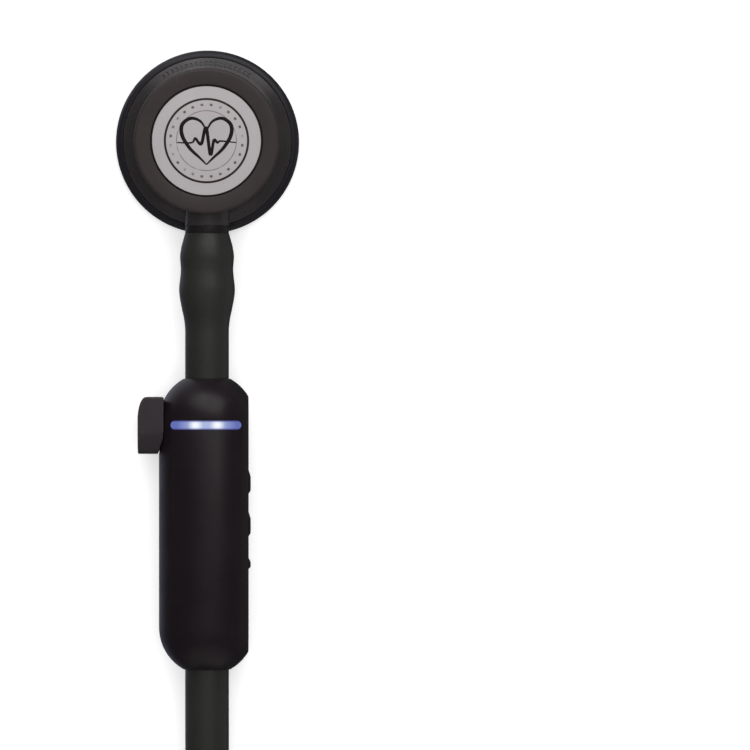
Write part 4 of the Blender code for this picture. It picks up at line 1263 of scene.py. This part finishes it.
# ---- stem and chest tube --------------------------------------------------------------------
@dataclass
class StemAndTube(SubAssembly):
    """The stem that the head turns on, and the short moulded tube over its barb."""

    steps: int = 96
    journal: float = 3.6
    grooves: tuple = ((-3.2, 0.8), (-6.0, 1.2), (-11.0, 0.8))      # middle and half width
    groove_radius: float = 2.5
    collar: float = 5.6
    collar_ends: tuple = (-21.66, -23.47)
    barb: float = 3.4
    barb_ridges: tuple = (-29.0, -31.5, -34.0)
    swell: Profile = ((5.68, -23.9), (6.02, -25.1), (6.52, -27.0), (6.85, -29.3), (6.75, -31.2),
                      (6.65, -33.0), (6.85, -35.2), (7.1, -37.6), (6.95, -39.8), (6.4, -42.8),
                      (5.85, -45.4), (5.56, -47.9), (5.55, -50.5))
    tube_inside: Profile = ((5.55, -64.4, 0.1), (3.2, -64.4), (3.2, -53.7), (2.4, -53.2),
                            (2.4, -37.0), (3.7, -36.5), (3.7, -23.5))
    seam: float = 0.05

    def build_stem(self) -> None:
        """Turn the stem: journal, collar and hose barb."""
        profile = [(0.0, 5.4), (self.journal - 0.4, 5.4), (self.journal, 5.0)]
        for middle, half in self.grooves:
            profile += [(self.journal, middle + half), (self.groove_radius, middle + half),
                        (self.groove_radius, middle - half), (self.journal, middle - half)]
        top, bottom = self.collar_ends
        profile += [(self.journal, top), (self.collar, top, 0.06), (self.collar, bottom, 0.04),
                    (self.barb, bottom)]
        for ridge in self.barb_ridges:
            profile += [(self.barb, ridge), (self.barb - 0.5, ridge - 0.1)]
        profile += [(2.6, -36.0), (0.0, -36.0)]
        bm = turned(tuple(profile), self.steps, Lie.ALONG, ON_AXIS)
        placed(bm, Place("stem_turned", "stem_enamel", "module", ("stem",)), self.paint["stem"])

    def build_tube(self) -> None:
        """Turn the short tube with its double swelling, and raise its parting lines."""
        profile = ((5.56, -23.5, 0.08),) + smooth_profile(self.swell) + self.tube_inside
        bm = turned(profile, self.steps, Lie.ALONG, ON_AXIS)
        for vert in bm.verts:
            across = math.hypot(vert.co.x, vert.co.z - AXIS_Z)
            if abs(vert.co.z - AXIS_Z) < 0.05 and across > 5.0:
                vert.co.x *= 1.0 + self.seam / across
        place = Place("chest_tube_skin", "tubing", "module", ("chest_tube",))
        placed(bm, place, self.paint["tubing"])

    def build(self) -> None:
        """Build both."""
        self.build_stem()
        self.build_tube()


# ---- electronics module ---------------------------------------------------------------------
@dataclass
class Module(SubAssembly):
    """Capsule-shaped module: two shells, lit window, slider, keys, socket and screws."""

    radius: float = 12.3
    wall: float = 1.5
    flat_x: float = 10.6
    flat_edge: float = 0.55          # radius of the flat side's edge
    upper: float = -71.5             # centres of the round ends
    lower: float = -124.4
    mouth: float = 5.85
    mouth_angle: float = 61.0        # where the round ends stop outside, in degrees
    inner_angle: float = 38.0        # and inside
    gap: float = 0.3
    seal_inset: float = 0.55
    seal_half: float = 0.6
    window_y: float = -72.6
    window_ends: tuple = (-9.24, 8.88)
    window_half: float = 1.2
    socket_y: float = -115.0
    socket_half: tuple = (4.2, 1.3)
    key_half: float = 2.5
    key_face: float = 11.16
    keys: dict = field(default_factory=lambda: {      # upper end, lower end, length of its ramp
        "volume_up": (-84.0, -90.3, 1.8), "volume_down": (-94.7, -101.2, 1.8),
        "pairing": (-106.6, -109.5, 1.0)})
    mark_half: tuple = (1.1, 0.19)   # half length and half width of the plus and the minus
    dot_half: float = 0.45
    screws: tuple = ((-7.4, -84.0), (7.4, -78.9), (-7.4, -121.5), (7.4, -122.5))
    screw_head: float = 1.6
    screw_seat: float = -5.0
    well_radius: float = 1.9
    post_radius: float = 2.6
    slider_top: float = -65.4
    slider_round_y: float = -74.0
    slider_half: float = 6.0
    slider_left: float = -17.7
    grip_ys: tuple = (-72.2, -73.5, -74.8, -76.1)

    def at(self, x: float, y: float, height: float) -> tuple:
        """Give a point by its height above the module's axis."""
        return (x, y, AXIS_Z + height)

    def capsule(self, inset: float, angle: float, soft: float = 0.0) -> bmesh.types.BMesh:
        """Turn a capsule and plane one side of it flat.

        Args:
            inset: how far it lies inside the module's surface.
            angle: where each round end stops, in degrees.
            soft: radius of the flat side's edge.

        Returns:
            The mesh.
        """
        radius, flat_x = self.radius - inset, self.flat_x - inset
        outline = dome(self.upper, radius, angle, 0.0) + dome(self.lower, radius, 0.0, -angle)
        profile = ((0.0, outline[0][1]),) + tuple(outline) + ((0.0, outline[-1][1]),)
        bm = turned(profile, 128, Lie.ALONG, ON_AXIS)
        geometry = list(bm.verts) + list(bm.edges) + list(bm.faces)
        cut = bmesh.ops.bisect_plane(bm, geom=geometry, plane_co=(flat_x, 0, 0),
                                     plane_no=(1, 0, 0), clear_outer=True)["geom_cut"]
        bmesh.ops.contextual_create(bm, geom=of_kind(cut, bmesh.types.BMEdge))
        bmesh.ops.recalc_face_normals(bm, faces=bm.faces)
        if soft:
            flat = [face for face in bm.faces if face.normal.x > 0.999 and len(face.verts) > 20]
            rounded(bm, borders(flat), soft, 4)
        return bm

    def openings(self) -> list:
        """Shape the tools for what passes through the shells on their parting plane.

        Returns:
            (cut, mesh) pairs.
        """
        tools = []
        for upper, lower, _ in self.keys.values():
            half = self.key_half + 0.2
            tools.append(block(self.at(7.7, lower - 0.2, -half), self.at(12.0, upper + 0.2, half)))
        length, height = (half + 0.25 for half in self.socket_half)
        tools.append(slot_block(self.at(8.5, self.socket_y - length, -height),
                                self.at(12.0, self.socket_y + length, height), 0))
        tools.append(block(self.at(-13.3, -79.8, -1.8), self.at(-9.5, -69.7, 1.8)))
        for centre, way in ((self.upper, 1), (self.lower, -1)):
            tools.append(bar(self.at(0, centre + way * (self.radius + 1), 0),
                             self.at(0, centre + way * 5.5, 0), self.mouth, sides=96))
        return [(Cut.REMOVE, tool) for tool in tools]

    def slab(self, low: float, high: float) -> tuple:
        """Give the tool that keeps what lies between two heights above the axis."""
        return (Cut.KEEP, block(self.at(-40, -180, low), self.at(40, -20, high)))

    def build_shells(self) -> None:
        """Cut the front and back shells from one capsule, with a seal between them."""
        left, right = self.window_ends
        window = slot_block(self.at(left, self.window_y - self.window_half, 4),
                            self.at(right, self.window_y + self.window_half, 14), 2)
        fastenings = []
        for x, y in self.screws:
            seat = self.at(x, y, self.screw_seat)
            fastenings.append((Cut.REMOVE, bar(self.at(x, y, -14), seat, self.well_radius)))
            fastenings.append((Cut.JOIN, bar(self.at(x, y, self.screw_seat - 0.1),
                                             self.at(x, y, -1.0), self.post_radius)))
        for name, low, high, own in (("front", self.gap / 2, 40.0, [(Cut.REMOVE, window)]),
                                     ("back", -40.0, -self.gap / 2, fastenings)):
            hollow = (Cut.REMOVE, self.capsule(self.wall, self.inner_angle))
            bm = worked(self.capsule(0.0, self.mouth_angle, self.flat_edge), hollow,
                        self.slab(low, high), *self.openings(), *own)
            place = Place(f"{name}_shell", "shell", "module", (f"module_{name}_shell",), 30.0, 0.14)
            placed(bm, place, self.paint["shell"])
        hollow = (Cut.REMOVE, self.capsule(self.wall - 0.05, self.inner_angle))
        seal = worked(self.capsule(self.seal_inset, self.mouth_angle), hollow,
                      self.slab(-self.seal_half, self.seal_half), *self.openings())
        placed(seal, Place("shell_seal", "seal", "module"), self.paint["seal"])

    def build_window(self) -> None:
        """Shape the frosted window to the shell's round."""
        left, right = self.window_ends
        half = self.window_half - 0.05
        ends = (0, self.window_y - 4, AXIS_Z), (0, self.window_y + 4, AXIS_Z)
        lens = slot_block(self.at(left + 0.05, self.window_y - half, 4),
                          self.at(right - 0.05, self.window_y + half, 14), 2)
        bm = worked(lens, (Cut.KEEP, bar(*ends, self.radius - 0.06, sides=256)),
                    (Cut.REMOVE, bar(*ends, self.radius - 2.2, sides=128)))
        place = Place("window_lens", "window", "module", ("light_window",), 35.0, 0.06)
        placed(bm, place, self.paint["window"])

    def build_slider(self) -> None:
        """Shape the power slider: a curved saddle with grip grooves on its outer face."""
        half, left, top = self.slider_half, self.slider_left, self.slider_top
        bottom = self.slider_round_y - half
        ramp = arc((-15.6, top - 5.9), (2.1, 5.9), 90, 180, 16)
        bm = plate([(-9.0, top)] + ramp + [(left, bottom), (-9.0, bottom)],
                   AXIS_Z - half, AXIS_Z + half)
        side = [(top + 1, AXIS_Z + half), (top + 1, AXIS_Z - half)]
        side += arc((self.slider_round_y, AXIS_Z), (half, half), 270, 90, 40)
        saddle = bar(self.at(0, top + 5, 0), self.at(0, bottom - 5, 0), self.radius + 0.18,
                     sides=192)
        bm = worked(bm, (Cut.KEEP, plate(side, left - 1, -8.0, "X")), (Cut.REMOVE, saddle))
        bm = fused([bm], 0.19, 7)
        grooves = []
        for index, y in enumerate(self.grip_ys):
            reach = 3.6 - 0.2 * index
            groove = bar(self.at(left - 0.12, y, -reach), self.at(left - 0.12, y, reach), 0.34,
                         sides=24)
            grooves.append((Cut.REMOVE, groove))
        tab = block(self.at(-14.0, -75.0, -1.5), self.at(-9.4, -70.0, 1.5), 0.2)
        bm = worked(bm, *grooves, (Cut.JOIN, tab))
        place = Place("slider_knob", "slider", "slider", ("power_slider",), 30.0)
        placed(bm, place, self.paint["slider"])

    def build_keys(self) -> None:
        """Shape the soft keys, and raise a plus, a minus and a dot on them."""
        low, high = self.key_face - 0.1, self.key_face + 0.05
        length, width = self.mark_half
        for name, (upper, lower, ramp) in self.keys.items():
            outline = [(8.8, lower), (self.flat_x, lower), (self.key_face, lower + ramp / 2),
                       (self.key_face, upper - ramp), (self.flat_x, upper), (8.8, upper)]
            bm = plate(outline, AXIS_Z - self.key_half, AXIS_Z + self.key_half)
            rounded(bm, sharp(bm, 12.0), 0.22, 3)
            place = Place(f"{name}_cap", "keys", f"{name}_key", (f"{name}_button",), 40.0)
            placed(bm, place, self.paint["keys"])
            middle = (upper - ramp + lower + ramp / 2) / 2
            if name == "pairing":
                mark = slot_block(self.at(low, middle - self.dot_half, -self.dot_half),
                                  self.at(high, middle + self.dot_half, self.dot_half), 0, 0.02)
            else:
                mark = block(self.at(low, middle - length, -width),
                             self.at(high, middle + length, width), 0.03)
            if name == "volume_up":
                upright = block(self.at(low, middle - width, -length),
                                self.at(high, middle + width, length), 0.03)
                mark = worked(mark, (Cut.JOIN, upright))
            placed(mark, Place(f"{name}_mark", "keys", f"{name}_key"), self.paint["symbol"])

    def build_screws(self) -> None:
        """Turn the screws, with a six-sided recess in each head."""
        top, head = self.screw_seat - 0.3, self.screw_head
        profile = ((0.0, 4.5), (0.8, 4.5), (0.8, top), (head, top, 0.1), (head, top - 1.3, 0.25),
                   (0.0, top - 1.3))
        for index, (x, y) in enumerate(self.screws, start=1):
            recess = bar(self.at(x, y, top - 0.6), self.at(x, y, top - 2.0), 0.78, sides=6)
            bm = worked(turned(profile, 48, Lie.UP, self.at(x, y, 0)), (Cut.REMOVE, recess))
            place = Place(f"screw_head_{index}", "bright_steel", "module",
                          (f"shell_screw_{index}",))
            placed(bm, place, self.paint["steel"])

    def build_socket(self) -> None:
        """Shape the charging socket with its tongue."""
        length, height = self.socket_half
        casing = slot_block(self.at(2.4, self.socket_y - length, -height),
                            self.at(10.0, self.socket_y + length, height), 0)
        mouth = slot_block(self.at(4.0, self.socket_y - length + 0.35, -height + 0.35),
                           self.at(11.0, self.socket_y + length - 0.35, height - 0.35), 0)
        tongue = block(self.at(2.6, self.socket_y - 2.6, -0.3),
                       self.at(9.2, self.socket_y + 2.6, 0.3), 0.08)
        bm = worked(casing, (Cut.REMOVE, mouth), (Cut.JOIN, tongue))
        place = Place("charging_socket_shell", "bright_steel", "module", ("charging_socket",),
                      35.0, 0.07)
        placed(bm, place, self.paint["steel"])

    def build(self) -> None:
        """Build all of it."""
        self.build_shells()
        self.build_window()
        self.build_slider()
        self.build_keys()
        self.build_screws()
        self.build_socket()


# ---- headset --------------------------------------------------------------------------------
@dataclass
class Headset(SubAssembly):
    """Moulded yoke, and on each side a branch tube, an ear tube and an ear tip."""

    axis_x: float = -118.0
    height: float = 7.1
    reach: float = 0.45              # what the moulding needs to meet the tube's end
    start: float = -145.7
    trunk: float = 6.45
    fork: float = -134.0
    heart: float = 7.0
    arm_radius: float = 6.3
    arm_length: float = 26.0
    arm_angle: float = math.radians(22.0)
    branch_radius: float = 5.4
    branch_end: float = 4.9
    branch_inside: tuple = (16.0, 18.0, 20.0, 22.0, 24.0, 26.0, 28.0, 30.0)      # from the fork
    branch_bends: tuple = (24.0, 40.0)         # two distances from the fork along the arm's line, handed on with the sleeve
    branch_route: tuple = ((16.2, -94.0, 6.8), (22.6, -78.0, 6.0), (29.0, -62.0, 5.6),
                           (34.2, -46.0, 5.5), (37.6, -34.0, 5.5))
    branch_lip: tuple = ((1.3, 4.97), (1.15, 5.08), (0.5, 5.08), (0.18, 5.0), (0.0, 4.7),
                         (0.0, 3.45), (1.0, 3.25), (5.0, 3.25))      # back from its end, radius
    ear_radius: float = 3.2
    ear_route: tuple = ((34.2, -46.0, 5.5), (37.6, -34.0, 5.5), (43.0, -14.0, 4.6),
                        (47.2, 8.0, 3.8), (49.0, 32.0, 3.6), (46.4, 56.0, 3.8), (38.4, 78.0, 4.7),
                        (26.8, 95.0, 6.2), (17.0, 106.0, 7.6))
    ear_mouth: tuple = ((0.25, 3.2), (0.07, 3.12), (0.0, 2.95), (0.0, 2.6), (0.15, 2.42),
                        (6.0, 2.4))
    tip_mouth: Profile = ((2.1, 6.0), (2.1, 11.5, 0.2))
    tip: Profile = ((2.6, 11.5), (3.8, 11.1), (5.0, 9.8), (5.9, 7.8), (6.3, 5.6), (6.1, 3.6),
                    (5.2, 2.2), (3.6, 1.4))
    tip_seat: Profile = ((3.6, 0.3, 0.15), (3.2, 0.3), (3.2, 5.8))
    threads: int = 8
    thread_pitch: float = 0.5

    def along_arm(self, side: int, distance: float) -> Vector:
        """Give a point on one arm's centre line.

        Args:
            side: -1 for the left arm and 1 for the right.
            distance: how far from the fork.

        Returns:
            The point.
        """
        return Vector((self.axis_x + side * distance * math.sin(self.arm_angle),
                       self.fork + distance * math.cos(self.arm_angle), self.height))

    def mirrored(self, side: int, route: tuple) -> list:
        """Give one side's route as points of the frame."""
        return [Vector((self.axis_x + side * x, y, z)) for x, y, z in route]

    def build_yoke(self) -> None:
        """Melt the trunk and both arms into one moulded Y, with a web in the fork."""
        heart = (self.axis_x, self.fork + 3.0, self.height)
        ball = bmesh.new()
        bmesh.ops.create_uvsphere(ball, u_segments=48, v_segments=32, radius=self.heart)
        bmesh.ops.translate(ball, vec=heart, verts=ball.verts)
        parts = [bar((self.axis_x, self.start - self.reach, self.height), heart, self.trunk,
                     self.heart + 0.05), ball]
        for side in (-1, 1):
            parts.append(bar(self.along_arm(side, 0), self.along_arm(side, self.arm_length),
                             self.heart - 0.15, self.arm_radius + 0.1))
        web = bar((self.axis_x, self.fork + 4, self.height),
                  (self.axis_x, self.fork + 17, self.height), 5.2, 2.6)
        bmesh.ops.scale(web, vec=(1.0, 1.0, 0.62), verts=web.verts,
                        space=Matrix.Translation((0, 0, -self.height)))
        bm = fused(parts + [web], 0.42, 9)
        place = Place("yoke_moulding", "tubing", "module", ("yoke",), 60.0)
        placed(bm, place, self.paint["tubing"])

    def branch_stations(self, side: int) -> list:
        """Set the rings of a branch: from inside its arm, over the joint, to a lip on the ear tube.

        Args:
            side: -1 for left and 1 for right.

        Returns:
            The stations.
        """
        pivot = self.along_arm(side, self.arm_length + 0.3 + self.branch_radius)
        inside = [self.along_arm(side, distance) for distance in self.branch_inside]
        run = smooth_route([pivot] + self.mirrored(side, self.branch_route), 9)
        narrowing = (self.branch_end - self.branch_radius) / (len(run) - 1)
        radii = [self.branch_radius] * len(inside)
        radii += [self.branch_radius + narrowing * index for index in range(len(run))]
        rings = stations(inside + run, radii)
        last = rings.pop()
        return rings + stepped_back(last.point, last.heading, self.branch_lip)

    def build_branch(self, name: str, side: int) -> None:
        """Sweep one branch's sleeve, which runs over the ear's joint.

        Args:
            name: "left" or "right".
            side: -1 or 1.
        """
        bm = swept(self.branch_stations(side), 48, 0.04)
        place = Place(f"{name}_branch_sleeve", "tubing", "module", (f"{name}_branch_tube",))
        start, end = (self.along_arm(side, distance) for distance in self.branch_bends)
        placed(bm, place, self.paint["tubing"], (f"{name}_ear", start, end))

    def build_ear(self, name: str, side: int) -> None:
        """Sweep one ear tube, and turn its soft tip and its ferrule.

        Args:
            name: "left" or "right".
            side: -1 or 1.
        """
        body = f"{name}_ear"
        coarse = smooth_route(self.mirrored(side, self.ear_route), 2)
        end = coarse[-1]
        heading = (coarse[-1] - coarse[-2]).normalized()
        line = smooth_route(self.mirrored(side, self.ear_route), 12)[6:-6]
        line += [end - heading * back for back in (0.9, 0.45)]
        rings = stations(line, [self.ear_radius] * len(line))
        pipe = swept(rings + stepped_back(end, heading, self.ear_mouth), 40)
        place = Place(f"{name}_ear_pipe", "ear_enamel", body, (f"{name}_ear_tube",))
        placed(pipe, place, self.paint["ear_enamel"])
        turn = Matrix.Translation(end) @ heading.to_track_quat("Z", "Y").to_matrix().to_4x4()
        tip = turned(self.tip_mouth + smooth_profile(self.tip) + self.tip_seat, 72)
        tip.transform(turn)
        place = Place(f"{name}_ear_bud", "ear_silicone", body, (f"{name}_ear_tip",))
        placed(tip, place, self.paint["silicone"])
        thread = [(2.9, 5.5)]
        for index in range(self.threads):
            drop = index * self.thread_pitch
            thread += [(2.9, 5.2 - drop), (2.72, 4.95 - drop)]
        thread += [(2.9, 1.0), (2.9, 0.3, 0.1), (2.4, 0.3), (2.4, 5.5)]
        ferrule = turned(tuple(thread), 48)
        ferrule.transform(turn)
        place = Place(f"{name}_threaded_ferrule", "bright_steel", body, (f"{name}_tip_ferrule",))
        placed(ferrule, place, self.paint["steel"])

    def build(self) -> None:
        """Build all of it."""
        self.build_yoke()
        for name, side in (("left", -1), ("right", 1)):
            self.build_branch(name, side)
            self.build_ear(name, side)


# ---- inner works ----------------------------------------------------------------------------
@dataclass
class InnerWorks(SubAssembly):
    """The parts inside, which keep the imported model's shapes and get their finishes here."""

    finishes: dict = field(default_factory=lambda: {
        "steel": ("stem_retaining_screw", "detent_ball", "detent_plug", "microphone", "speaker"),
        "spring": ("detent_spring", "yoke_leaf_spring"),
        "seal": ("stem_o_ring_inner", "stem_o_ring_outer", "microphone_boot", "speaker_boot"),
        "moulding": ("upper_nozzle", "lower_nozzle", "slide_switch", "slide_switch_lever",
                     "volume_up_switch", "volume_down_switch", "pairing_switch"),
        "board": ("light_board", "main_board"),
        "foil": ("battery",),
        "lamp": ("status_led_left", "status_led_right"),
    })

    def dress(self, nodes: dict) -> None:
        """Give each node its finish.

        Args:
            nodes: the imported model's nodes.
        """
        for finish, names in self.finishes.items():
            for name in names:
                for slot in nodes[name].material_slots:
                    slot.material = self.paint[finish]
                LOG.info("%s: dressed in %s", name, finish)


def main() -> None:
    """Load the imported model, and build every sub-assembly."""
    logging.basicConfig(level=logging.INFO, format="%(message)s")
    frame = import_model()
    paint = Palette().made()
    Studio().build()
    for sub_assembly in (HeadsetTube, Chestpiece, StemAndTube, Module, Headset):
        sub_assembly(paint).build()
    InnerWorks(paint).dress(frame["nodes"])
    bpy.context.view_layer.update()


if __name__ == "__main__":
    main()
